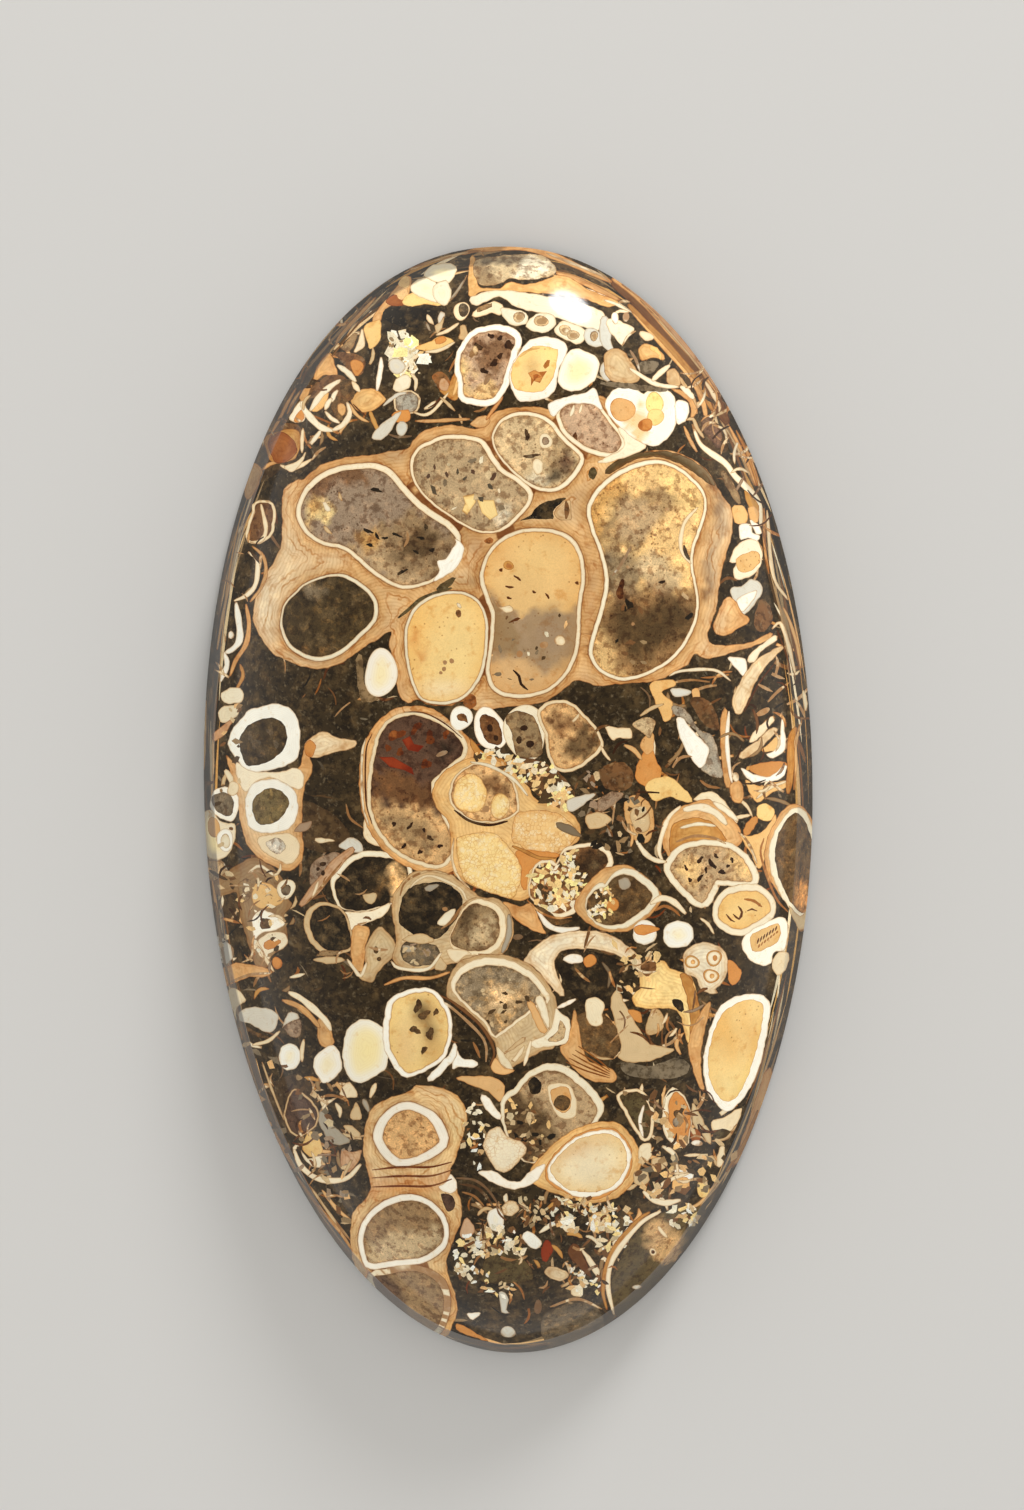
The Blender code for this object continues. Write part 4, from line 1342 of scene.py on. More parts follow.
stainsIn("lastRing",
    ("plum", "370,1282 386,1276 400,1284 404,1304 398,1322 380,1306"))
for k, y in enumerate((1170, 1178, 1187)):
    band("lamina", "rust", [(372, y), (400, y - 3 + k), (430, y - 3 + k), (452, y - 8)], 2.2)

# Bottom middle: the eye chamber and the pale oval
blobs(
    ("wall", "tan", "456,1078 485,1076 500,1080 505,1090 500,1102 488,1092"),
    ("mud", "dun", "517,1093 535,1075 562,1073 595,1104 589,1125 560,1141 530,1162 509,1136 505,1105",
     {"wall": 5, "wallPaint": "cream", "thick": (0.3, 0.6), "name": "eyeChamber"}),
    ("wall", "ivory", "547,1087 565,1083 573,1090 577,1103 575,1117 565,1119 555,1113"),
    ("amber", "tan", "551,1090 566,1087 571,1095 570,1108 562,1113 554,1106"),
    ("dark", "umber", "554,1101 560,1095 568,1097 570,1105 564,1111 556,1108"),
    ("dark", "black", "528,1084 534,1077 541,1082 540,1092 532,1094"),
    ("wall", "white", "480,1098 486,1095 502,1117 497,1119 488,1112"),
    ("lamina", "honey", "528,1178 550,1147 582,1126 618,1123 640,1150 641,1166 632,1184 618,1197 594,1203 "
     "562,1196"),
    ("wall", "orange", "545,1176 551,1158 578,1134 612,1128 631,1148 629,1175 607,1196 582,1199 554,1187"),
    ("wall", "white", "547,1174 553,1158 578,1136 612,1130 629,1148 631,1161 618,1187 583,1198 556,1185"),
    ("amber", "gold", "551,1172 556,1159 579,1139 611,1134 626,1150 624,1172 605,1190 570,1190",
     {"name": "paleOval"}),
    ("wall", "white", "478,1173 495,1171 505,1179 520,1181 530,1171 545,1164 540,1177 526,1187 505,1188"),
    ("mud", "plum", "441,1194 452,1196 455,1206 448,1212"))
stainsIn("eyeChamber",
    ("mud", "520,1088 540,1072 570,1074 596,1100 598,1122 580,1134 560,1130 548,1110"),
    ("umber", "505,1100 518,1094 534,1104 546,1120 550,1138 540,1156 520,1156 508,1138"))
crumbs("505,1098 524,1096 548,1122 550,1150 530,1162 512,1146", 70, (1.2, 3.4),
    ("umber", "dun", "beige", "black", "brown", "honey"), 65, within="eyeChamber")
blobs(
    ("grain", "cream", "484,1140 490,1130 500,1127 508,1137 522,1142 526,1152 510,1170 498,1171 485,1152"),
    ("pearl", "white", "487,1219 490,1210 497,1208 503,1214 504,1224 499,1231 491,1230"),
    ("wall", "pinkTan", "464,1219 470,1220 475,1232 466,1238 460,1236"),
    ("grain", "ivory", "502,1207 507,1201 516,1202 519,1210 512,1216 504,1214"),
    ("wall", "white", "522,1236 527,1231 536,1235 542,1244 536,1249 528,1246"),
    ("amber", "red", "543,1243 548,1240 553,1250 546,1262 541,1256"),
    ("lamina", "brown", "568,1250 577,1244 592,1278 572,1260"),
    ("wall", "cream", "581,1250 590,1256 600,1272 596,1276"),
    ("lamina", "ivory", "544,1272 548,1267 560,1268 569,1275 562,1281 550,1278"),
    ("wall", "ivory", "571,1288 577,1285 582,1296 573,1296"),
    ("mud", "olive", "480,1280 484,1262 496,1251 514,1252 528,1264 532,1280 498,1284"),
    ("dark", "slate", "541,1322 552,1309 585,1302 598,1308 603,1332 560,1346 545,1342"),
    ("wall", "white", "467,1314 475,1312 481,1313 473,1320"),
    ("wall", "paleGrey", "499,1292 505,1293 509,1300 506,1310 511,1313 502,1312"),
    ("amber", "orange", "455,1325 462,1325 488,1341 460,1332"))
bands(
    ("dark", "black", 5, "512,1237 530,1226 549,1212"),
    ("wall", "cream", 5, "539,1233 553,1224 571,1220"),
    ("wall", "ivory", 3, "550,1307 577,1299 602,1309"),
    ("wall", "grey", 2.6, "456,1178 474,1180 488,1190 499,1206"),
    ("wall", "smoke", 3, "460,1184 475,1187 486,1196 494,1208"),
    ("wall", "beige", 2.4, "462,1192 474,1196 484,1206"))
oval("wall", "paleGrey", 508, 1332, 8, 5.5)
oval("wall", "grey", 538, 1307, 4, 7)
oval("grain", "gold", 600, 1222, 11, 11)
oval("grain", "ivory", 599, 1221, 6, 6)
fine = ("cream", "ivory", "cream", "white", "beige", "tan", "gold", "brown")
crumbs("475,1240 490,1226 515,1230 525,1252 500,1254 480,1256", 60, (1.3, 3.8), fine, 66)
crumbs("548,1210 565,1198 596,1200 600,1224 570,1232 552,1226", 70, (1.3, 3.8), fine, 67)
crumbs("598,1210 620,1206 632,1220 624,1250 606,1262 598,1240", 70, (1.3, 3.8), fine, 68)
crumbs("456,1240 474,1236 480,1262 474,1286 458,1282", 44, (1.3, 3.6), fine, 69)
crumbs("468,1264 512,1284 512,1296 480,1292", 20, (1.2, 3), fine, 70)
crumbs("570,1268 598,1270 602,1292 576,1298", 34, (1.2, 3), fine, 71)
crumbs("462,1110 480,1106 484,1164 466,1160", 30, (1.2, 3.2), fine, 72)
crumbs("520,1200 548,1198 548,1225 524,1228", 26, (1.2, 3), ("brown", "umber", "dun", "beige"), 73)

# Bottom right: the big dark chamber, the amber oval and broken shell
blobs(
    ("mud", "olive", "659,1214 690,1206 712,1190 690,1240 660,1280 630,1314 616,1316 611,1285 624,1250 "
     "640,1228", {"name": "bigChamber"}),
    ("lamina", "tan", "688,1045 699,1015 711,1002 703,1040 701,1065 704,1091 697,1082"),
    ("wall", "white", "704,1053 719,1008 746,994 768,999 769,1022 756,1077 730,1111 711,1098 705,1083"),
    ("amber", "gold", "711,1041 723,1013 746,1000 762,1004 762,1024 754,1058 742,1089 728,1102 714,1090 "
     "708,1067", {"name": "amberOval"}),
    ("mud", "olive", "621,1095 633,1092 643,1096 651,1115 645,1138 "
     "623,1103", {"wall": 3.5, "wallPaint": "ivory", "name": "olive"}),
    ("amber", "orange", "677,1092 690,1112 687,1141 678,1142 670,1132 669,1104",
     {"wall": 4, "wallPaint": "cream", "thick": (-0.6, 0)}),
    ("wall", "beige", "693,1103 705,1125 697,1130 692,1118"),
    ("lamina", "rust", "690,1131 699,1130 701,1140 692,1141"),
    ("wall", "beige", "703,1125 709,1128 711,1145 702,1135"),
    ("wall", "ivory", "713,1120 722,1118 742,1108 733,1130 716,1132 711,1128"),
    ("mud", "olive", "713,1133 722,1129 730,1131 726,1138 714,1139"),
    ("wall", "ivory", "720,1147 725,1147 723,1165 716,1166"),
    ("wall", "ivory", "640,1146 650,1143 652,1155 645,1162 638,1158"),
    ("wall", "beige", "652,1158 662,1158 668,1165 658,1172 652,1168"),
    ("wall", "white", "674,1170 684,1167 693,1172 692,1180 680,1178"),
    ("amber", "honey", "673,1181 687,1177 689,1188 674,1190"),
    ("wall", "beige", "634,1172 645,1170 650,1180 642,1186 634,1182"),
    ("lamina", "tan", "766,1070 773,1074 764,1108 750,1142 732,1168 750,1116"))
stainsIn("bigChamber",
    ("tan", "650,1222 660,1219 676,1227 684,1240 680,1257 668,1263 655,1258 647,1244"))
bands(
    ("lamina", "ochre", 5, "650,1212 636,1222 611,1254 603,1288 607,1310"),
    ("wall", "cream", 5.5, "661,1211 640,1224 614,1257 608,1285 614,1315"),
    ("wall", "white", 4, "644,1105 640,1121 643,1137"),
    ("wall", "beige", 3, "712,1141 727,1138 737,1124"),
    ("wall", "cream", 5.5, "662,1146 672,1152 678,1161"),
    ("wall", "cream", 6.5, "643,1191 651,1198 664,1203 681,1200"),
    ("wall", "ivory", 4.5, "650,1194 668,1181 693,1171"),
    ("wall", "beige", 3, "686,1181 697,1179 708,1181"),
    ("wall", "tan", 3.5, "684,1209 700,1203 719,1180"),
    ("wall", "ivory", 4.5, "658,1226 662,1232 668,1238"),
    ("wall", "beige", 2.4, "700,1206 720,1182 740,1150 756,1118"),
    ("lamina", "ochre", 4, "726,1172 744,1144 758,1110"))
oval("dark", "umber", 678, 1114, 5, 4)
oval("mud", "grey", 676, 1122, 3.6, 5)
oval("wall", "white", 686, 1113, 2, 3)
oval("wall", "white", 697, 1143, 6, 3)
oval("amber", "gold", 703, 1189, 6.5, 8.5)
oval("wall", "ivory", 653, 1252, 4, 4)
oval("mud", "brown", 653, 1252, 2, 2)
oval("wall", "paleGrey", 637, 1287, 5, 2.5)
crumbs("668,1214 684,1204 702,1214 692,1224 672,1226", 30, (1.3, 3.4), fine, 74)
crumbs("640,1160 700,1140 736,1150 700,1196 650,1200", 50, (1.5, 4.6),
    ("beige", "dun", "brown", "umber", "tan", "honey", "smoke"), 75)
crumbs("604,1082 660,1086 700,1096 690,1140 650,1146 640,1110", 30, (1.5, 4.6),
    ("beige", "dun", "brown", "umber", "tan"), 76)

# Broken shell that lies over the rest, thickest along the edges
overPaints = ("cream", "ivory", "cream", "beige", "tan", "dun", "ivory", "umber", "brown", "mauve")
for zone, count, size, seed in (
        ("690,335 722,372 752,430 776,500 790,580 776,585 752,520 732,465 708,430 684,380", 36, (5, 13), 31),
        ("240,440 285,370 340,300 372,300 350,350 300,420 262,470 244,470", 16, (4, 11), 32),
        ("566,706 630,700 690,760 650,850 600,830 580,760", 18, (4, 13), 33),
        ("700,690 800,664 804,780 760,806 720,760", 22, (5, 13), 34),
        ("212,866 290,856 288,965 250,975 222,930", 26, (4, 11), 35),
        ("268,1075 352,1085 352,1150 345,1215 300,1180", 28, (4, 11), 36),
        ("655,1090 736,1085 715,1160 665,1205 645,1160", 26, (4, 11), 37),
        ("455,1200 610,1195 620,1285 480,1295", 36, (4, 11), 38),
        ("585,935 640,935 715,1000 660,1050 596,1040", 22, (5, 14), 39),
        ("300,880 350,870 400,960 330,985", 12, (4, 10), 40),
        ("236,520 256,500 262,560 240,640 222,690 214,680", 12, (4, 10), 41)):
    curls(zone, count, size, overPaints, seed, (0.9, 2.2))

# Soft clouds of colour: x, y, half width, half height, turn, paint, strength, and the shape they lie in
clouds = [
    (655, 400, 14, 18, 0, "yellow", 0.4, "swirl"),
    (458, 1118, 8, 40, 0, "gold", 0.7, "lowerBody"),
    (535, 370, 14, 18, 0, "amber", 0.5, "yolk"),
    (532, 366, 7, 9, 20, "rust", 0.4, "yolk"),
    (578, 372, 14, 16, 0, "gold", 0.35, "pale"),
    (367, 1050, 14, 20, 0, "yellow", 0.7, "discThree"),
    (425, 1015, 13, 16, 0, "ochre", 0.8, "discFour"),
    (432, 1046, 12, 18, 0, "ochre", 0.7, "discFour"),
    (422, 1012, 8, 10, 0, "black", 0.85, "discFour"),
    (430, 1032, 6, 8, 0, "umber", 0.8, "discFour"),
    (405, 1045, 12, 26, 0, "tan", 0.6, "discFour"),
    (408, 1135, 42, 36, 0, "ivory", 0.75, "lowerBody"),
    (400, 1240, 56, 36, 0, "ivory", 0.6, "lowerBody"),
    (262, 800, 30, 60, 0, "ivory", 0.5, "ringBody"),
    (585, 1165, 60, 40, 0, "cream", 0.75, "paleOval"),
    (575, 1150, 40, 8, 20, "orange", 0.3, "paleOval"),
    (727, 1040, 13, 34, 15, "marigold", 0.9, "amberOval"),
    (724, 1050, 8, 24, 10, "amber", 0.5, "amberOval"),
    (748, 1030, 9, 30, 15, "marigold", 0.6, "amberOval"),
    (745, 1085, 20, 24, 0, "yellow", 0.4, "amberOval"),
    (418, 640, 10, 30, 0, "marigold", 0.5, "amberWhorl"),
    (430, 620, 16, 12, 30, "marigold", 0.35, "amberWhorl"),
    (458, 655, 20, 30, 0, "gold", 0.55, "amberWhorl"),
    (445, 690, 30, 10, 0, "cream", 0.45, "amberWhorl"),
    (535, 560, 34, 24, 0, "amber", 0.4, "middleWhorl"),
    (502, 556, 14, 14, 0, "orange", 0.25, "middleWhorl"),
    (568, 600, 10, 30, 0, "ochre", 0.3, "middleWhorl"),
    (284, 560, 16, 50, 0, "ivory", 0.5, "body"),
    (264, 606, 14, 44, 0, "cream", 0.7, "body"),
    (300, 662, 40, 8, 0, "ivory", 0.6, "body"),
    (330, 560, 26, 10, 20, "ivory", 0.35, "body"),
    (455, 530, 16, 16, 0, "brown", 0.5, "body"),
    (478, 548, 12, 20, 0, "rust", 0.4, "body"),
    (590, 600, 8, 60, 0, "rust", 0.35, "body"),
    (585, 500, 20, 14, 0, "brown", 0.45, "body"),
    (395, 455, 16, 12, 0, "brown", 0.35, "body"),
    (470, 582, 20, 8, 0, "brown", 0.45, "body"),
    (713, 545, 5, 60, 0, "brown", 0.4, "body"),
    (730, 530, 4, 40, 0, "ivory", 0.5, "body"),
    (716, 630, 10, 22, 0, "ivory", 0.4, "body"),
    (560, 700, 60, 8, 0, "brown", 0.35, "body"),
    (740, 656, 30, 8, 10, "ivory", 0.45, "body"),
]
print("front markings", len(marks))
frontCount, frontLines = len(marks), len(midLines)

# The flat back, drawn in the same pixels as if seen through the stone. It shows the same kind of shells.
back = {
    "whorls": 40,
    "splinters": 110,
    "seed": 23,
    "whorlSize": (13, 58),   # in pixels
    "rimPoints": 500,
    "gridStep": 0.9,         # millimetres between the loose points
    "gridClear": 0.16,
    "pixel": 0.0482,         # millimetres to a pixel
}


def drawBack():
    pick = random.Random(back["seed"])
    fills = ("mud", "mud", "amber", "dark", "lamina", "mud")
    shades = {"mud": ("mud", "mauve", "dun", "beige", "pinkTan"), "amber": ("honey", "amber", "ochre"),
              "dark": ("black", "umber", "plum"), "lamina": ("tan", "ochre", "honey")}
    for _ in range(back["splinters"]):
        turn, share = pick.uniform(0, 2 * math.pi), math.sqrt(pick.random())
        oval("crumb", pick.choice(("dun", "beige", "ivory", "brown", "paleGrey", "tan")),
             *spotFromMiddle(turn, share, 280, 520),
             pick.uniform(4, 15), pick.uniform(1.2, 3.4), turn=pick.uniform(0, 180))
    for _ in range(back["whorls"]):
        turn, share = pick.uniform(0, 2 * math.pi), math.sqrt(pick.uniform(0, 0.92))
        x, y = spotFromMiddle(turn, share, 265, 500)
        size = pick.uniform(*back["whorlSize"])
        squeeze, lean = pick.uniform(0.55, 0.95), pick.uniform(0, math.pi)
        points = []
        for k in range(9):
            angle = 2 * math.pi * k / 9
            reach = size * pick.uniform(0.84, 1.14)
            u, v = reach * math.cos(angle), reach * squeeze * math.sin(angle)
            points.append((x + u * math.cos(lean) - v * math.sin(lean),
                           y + u * math.sin(lean) + v * math.cos(lean)))
        fill = pick.choice(fills)
        blob(fill, pick.choice(shades[fill]), points, wall=size * 0.16 + 1,
             wallPaint=pick.choice(("cream", "ivory", "white")),
             thick=(pick.uniform(-0.5, 0.5), pick.uniform(-0.5, 0.5)))


drawBack()
print("back markings", len(marks) - frontCount)

# One material for each finish, in this order
finishNames = ["ground", "wall", "lamina", "mud", "amber", "dark", "pearl", "grain", "crumb"]


def loosePoints(share, step, held, clear, seed):
    # an uneven net of points, leaving room round the drawn lines
    pick = np.random.default_rng(seed)
    x, y = np.meshgrid(np.arange(-15, 15, step), np.arange(-27.5, 27.5, step * 0.87))
    x = x + (np.arange(x.shape[0]) % 2)[:, None] * step / 2
    x = (x + pick.uniform(-0.2, 0.2, x.shape) * step).ravel()
    y = (y + pick.uniform(-0.2, 0.2, y.shape) * step).ravel()
    keep = shareAt(x, y) < share
    x, y = x[keep], y[keep]
    cells = set()
    for u, v in np.floor(held / clear).astype(int):
        cells.update(((u, v), (u + 1, v), (u - 1, v), (u, v + 1), (u, v - 1)))
    own = np.floor(np.stack([x, y], 1) / clear).astype(int)
    free = [k for k, (u, v) in enumerate(own) if (u, v) not in cells]
    return np.stack([x[free], y[free]], 1)


def within(spots, loop):
    # which of the spots lie inside the closed line
    inside = np.zeros(len(spots), dtype=bool)
    for a, b in zip(loop, np.roll(loop, -1, 0)):
        crosses = (a[1] > spots[:, 1]) != (b[1] > spots[:, 1])
        if a[1] != b[1]:
            inside ^= crosses & (spots[:, 0] < (b[0] - a[0]) * (spots[:, 1] - a[1]) / (b[1] - a[1]) + a[0])
    return inside


def layOut(outline, lines, loose, shapes, names, withins):
    # cuts the face along every drawn line, and says which shape lies on top of each triangle.
    # Hundreds of shell edges cross here, so the face is cut in one go, by triangles that keep every line,
    # and not edge by edge with bpy.ops.
    points, edges, faces = [], [], []
    for loop in [outline] + shapes:
        first = len(points)
        points.extend(Vector(p) for p in loop)
        faces.append(list(range(first, first + len(loop))))
    for loop, closed in lines:
        first = len(points)
        points.extend(Vector(p) for p in loop)
        edges.extend((first + k, first + (k + 1) % len(loop)) for k in range(len(loop) - (not closed)))
    points.extend(Vector(p) for p in loose)
    verts, _, triangles, _, _, covers = delaunay_2d_cdt(points, edges, faces, 1, 1e-5, True)
    homes = {}
    for k, name in enumerate(names):
        if name:
            homes.setdefault(name, set()).add(k + 1)
    # a shape whose line crosses itself can spill over the face, so its triangles are looked at one by one
    corners = np.array([v[:] for v in verts])[np.array(triangles)]
    sides = corners[:, 1:] - corners[:, :1]
    spread = np.zeros(len(shapes) + 1)
    sizes = np.abs(sides[:, 0, 0] * sides[:, 1, 1] - sides[:, 0, 1] * sides[:, 1, 0]) / 2
    for size, cover in zip(sizes, covers):
        spread[list(set(cover))] += size
    spilt = {k + 1: within(corners.mean(1), loop) for k, loop in enumerate(shapes)
             if spread[k + 1] > 1.3 * abs(areaOf(loop)) + 0.02}
    print("shapes held back", len(spilt))
    kept, tops = [], []
    for n, (triangle, cover) in enumerate(zip(triangles, covers)):
        if 0 not in cover:
            continue
        top = 0
        for k in sorted(cover, reverse=True):
            if k in spilt and not spilt[k][n]:
                continue
            if k and (not withins[k - 1] or homes[withins[k - 1]] & set(cover)):
                top = k
                break
        kept.append(triangle)
        tops.append(top)
    used = sorted({v for triangle in kept for v in triangle})
    place = {v: k for k, v in enumerate(used)}
    return (np.array([verts[v][:] for v in used]), [[place[v] for v in triangle] for triangle in kept], tops)


def counterClockwise(loop):
    return loop if areaOf(loop) > 0 else loop[::-1]


def throughTheStone(line):
    # pixels of the back, seen through the stone, to millimetres of the plan
    return (line - view["stoneMiddle"]) * (-back["pixel"], -back["pixel"])


# The front: pixels to the plan in one go
inPixels = [m for m in marks[:frontCount] if "plan" not in m]
lengths = np.cumsum([0] + [len(m["points"]) for m in inPixels])
plan = pixelToPlan(np.vstack([m["points"] for m in inPixels]))
for k, mark in enumerate(inPixels):
    mark["plan"] = plan[lengths[k]:lengths[k + 1]]
for mark in marks[:frontCount]:
    mark["plan"] = counterClockwise(mark["plan"])
flowPlan = [pixelToPlan(loop) for loop in flowLines]
for mark in marks[frontCount:]:
    mark["plan"] = counterClockwise(throughTheStone(mark["points"]))

rim = np.stack(ringOfStone(1.0, stone["ringPoints"]), 1)
ridge = np.stack(ringOfStone(ridgeShare, stone["ridgePoints"]), 1)
rings = [ridge] + [np.stack(ringOfStone(share, stone["sidePoints"]), 1) for share in stone["sideRings"]]
drawnLines = [(ring, True) for ring in rings]
for line, closed in midLines[:frontLines]:
    line = pixelToPlan(line)
    if shareAt(line[:, 0], line[:, 1]).max() < 0.995:
        drawnLines.append((line, closed))
held = np.vstack([plan, rim] + [line for line, _ in drawnLines])
loose = loosePoints(stone["gridReach"], stone["gridStep"], held, stone["gridClear"], 5)
frontVerts, frontFaces, frontTops = layOut(
    rim, drawnLines, loose, [m["plan"] for m in marks[:frontCount]],
    [m["name"] for m in marks[:frontCount]], [m["within"] for m in marks[:frontCount]])
print("front cut into", len(frontFaces))

# The back rim lies inside the widest line by the bevel
backShare = 1 - stone["backBevel"] / halfWide
backRim = np.stack(ringOfStone(backShare, back["rimPoints"]), 1)
held = np.vstack([m["plan"] for m in marks[frontCount:]] + [backRim])
loose = loosePoints(backShare - 0.02, back["gridStep"], held, back["gridClear"], 6)
backLines = []
for line, closed in midLines[frontLines:]:
    line = throughTheStone(line)
    if shareAt(line[:, 0], line[:, 1]).max() < backShare - 0.01:
        backLines.append((line, closed))
backVerts, backFaces, backTops = layOut(backRim, backLines, loose, [m["plan"] for m in marks[frontCount:]],
                                        ["" for m in marks[frontCount:]], ["" for m in marks[frontCount:]])
print("back cut into", len(backFaces))

# The two faces become one mesh
frontHigh = heightAt(frontVerts[:, 0], frontVerts[:, 1])
verts = [(x * mm, y * mm, z * mm) for (x, y), z in zip(frontVerts, frontHigh)]
verts += [(x * mm, y * mm, 0.0) for x, y in backVerts]
faces = [list(f) for f in frontFaces] + [[v + len(frontVerts) for v in reversed(f)] for f in backFaces]
tops = np.array(list(frontTops) + [t + frontCount if t else 0 for t in backTops], dtype=np.int32)
mesh = bpy.data.meshes.new("polishedStone")
mesh.from_pydata(verts, [], faces)
mesh.attributes.new("drawn", "INT", "FACE").data.foreach_set("value", tops)
piece = bpy.data.objects.new("polishedStone", mesh)
bpy.context.scene.collection.objects.link(piece)

# The two open rims are joined by the bevel that goes round the back edge
bpy.ops.object.select_all(action="DESELECT")
piece.select_set(True)
bpy.context.view_layer.objects.active = piece
uses = np.bincount([e for p in mesh.polygons for e in (mesh.loops[k].edge_index for k in p.loop_indices)],
                   minlength=len(mesh.edges))
for vertex in mesh.vertices:
    vertex.select = False
for edge in mesh.edges:
    edge.select = bool(uses[edge.index] == 1)
for polygon in mesh.polygons:
    polygon.select = False
bpy.ops.object.mode_set(mode="EDIT")
bpy.ops.mesh.select_mode(type="EDGE")
bpy.ops.mesh.bridge_edge_loops()
bpy.ops.mesh.select_all(action="SELECT")
bpy.ops.mesh.normals_make_consistent(inside=False)
bpy.ops.object.mode_set(mode="OBJECT")
mesh = piece.data
print("stone joined", len(mesh.polygons), "faces")

# What each corner of each triangle needs to know
faceCount = len(mesh.polygons)
loopCount = len(mesh.loops)
loopVertex = np.zeros(loopCount, dtype=np.int32)
mesh.loops.foreach_get("vertex_index", loopVertex)
starts = np.zeros(faceCount, dtype=np.int32)
totals = np.zeros(faceCount, dtype=np.int32)
mesh.polygons.foreach_get("loop_start", starts)
mesh.polygons.foreach_get("loop_total", totals)
loopFace = np.repeat(np.arange(faceCount), totals)
places = np.zeros(len(mesh.vertices) * 3)
mesh.vertices.foreach_get("co", places)
places = places.reshape(-1, 3) / mm
drawn = np.zeros(faceCount, dtype=np.int32)
mesh.attributes["drawn"].data.foreach_get("value", drawn)
corner = places[loopVertex]
centre = np.stack([np.bincount(loopFace, corner[:, k], faceCount) / totals for k in range(3)], 1)
lowest = np.full(faceCount, 99.0)
np.minimum.at(lowest, loopFace, corner[:, 2])
highest = np.full(faceCount, -99.0)
np.maximum.at(highest, loopFace, corner[:, 2])
isBack = highest < 0.001
isBevel = (lowest < 0.001) & ~isBack
drawn[isBevel] = 0
mesh.attributes.remove(mesh.attributes["drawn"])
loopDrawn = drawn[loopFace]
print("bevel faces", int(isBevel.sum()), "back faces", int(isBack.sum()))


def smoothNormals():
    # the true slope of the form at each corner, so that the polish shows no facets
    step = 0.02
    x, y = corner[:, 0], corner[:, 1]
    share = shareAt(x, y)
    slopeX = (shareAt(x + step, y) - shareAt(x - step, y)) / (2 * step)
    slopeY = (shareAt(x, y + step) - shareAt(x, y - step)) / (2 * step)
    onDome = (shareAt(centre[:, 0], centre[:, 1]) <= ridgeShare)[loopFace]
    domeFall = -(stone["height"] - stone["ridgeHeight"]) * stone["domePower"] / ridgeShare * (
        np.clip(share / ridgeShare, 0, 1) ** (stone["domePower"] - 1))
    sideFall = (stone["backBevel"] - stone["ridgeHeight"]) / (1 - ridgeShare)
    fall = np.where(onDome, domeFall, sideFall)
    normal = np.stack([-fall * slopeX, -fall * slopeY, np.ones(loopCount)], 1)
    normal[isBack[loopFace]] = (0, 0, -1)
    lower = isBevel[loopFace]
    out = np.stack([slopeX, slopeY], 1) / np.maximum(np.hypot(slopeX, slopeY), 1e-9)[:, None]
    normal[lower] = np.column_stack([out, -np.ones(loopCount)])[lower]
    return normal / np.linalg.norm(normal, axis=1)[:, None]


def distanceTo(spots, loop):
    # how far each spot is from a closed line
    a, b = loop, np.roll(loop, -1, 0)
    way = b - a
    size = np.maximum((way ** 2).sum(1), 1e-12)
    best = np.full(len(spots), 99.0)
    for first in range(0, len(spots), 3000):
        part = spots[first:first + 3000, None, :] - a[None, :, :]
        along = np.clip((part * way[None]).sum(2) / size[None], 0, 1)
        gap = part - along[:, :, None] * way[None]
        best[first:first + 3000] = np.sqrt((gap ** 2).sum(2).min(1))
    return best


# How deep a corner lies inside its shape's own outline, and how far it is from the nearest whorl
lie = np.zeros((loopCount, 3))
order = np.argsort(loopDrawn, kind="stable")
bounds = np.searchsorted(loopDrawn[order], np.arange(len(marks) + 2))
for k, mark in enumerate(marks):
    at = order[bounds[k + 1]:bounds[k + 2]]
    if not len(at):
        continue
    if mark["finish"] in ("crumb", "ground"):
        continue
    unique, whichOne = np.unique(loopVertex[at], return_inverse=True)
    spots = places[unique][:, :2]
    depth = distanceTo(spots, mark["plan"])
    if mark["holds"]:
        depth = np.minimum(depth, distanceTo(spots, marks[k + 1]["plan"]))
    if mark["finish"] == "lamina" and k < frontCount:
        gap = np.min([distanceTo(spots, loop) for loop in flowPlan], axis=0)
        lie[at, 1] = gap[whichOne]
    lie[at, 0] = depth[whichOne]
print("depths measured")

# The paint of each corner, then soft clouds of colour laid over it
tint = np.ones((loopCount, 4))
pixels = planToPixel(corner[:, 0], corner[:, 1], corner[:, 2])
paintOf = np.array([paints["ground"]] + [paints[m["paint"]] for m in marks])


def ownTone(seed, most):
    # every mark is a little lighter or darker, warmer or cooler than its paint
    return np.array([0.0] + [m["vary"] * random.Random(k * 3 + seed).uniform(-most, most)
                             for k, m in enumerate(marks)])


light, warm = ownTone(1, 1), ownTone(2, 0.6)
tint[:, :3] = paintOf[loopDrawn] * (1 + light[loopDrawn])[:, None]
tint[:, 0] *= 1 + warm[loopDrawn]
tint[:, 2] *= 1 - warm[loopDrawn]
nameOf = np.array(["ground"] + [m["name"] for m in marks])
for x, y, wide, high, turn, paint, strength, name in clouds:
    chosen = (nameOf == name)[loopDrawn] & ~isBack[loopFace]
    angle = math.radians(turn)
    away = pixels[chosen] - (x, y)
    u = (away[:, 0] * math.cos(angle) - away[:, 1] * math.sin(angle)) / wide
    v = (away[:, 0] * math.sin(angle) + away[:, 1] * math.cos(angle)) / high
    weight = strength * np.exp(-(u * u + v * v))
    tint[chosen, :3] += (np.array(paints[paint]) - tint[chosen, :3]) * weight[:, None]

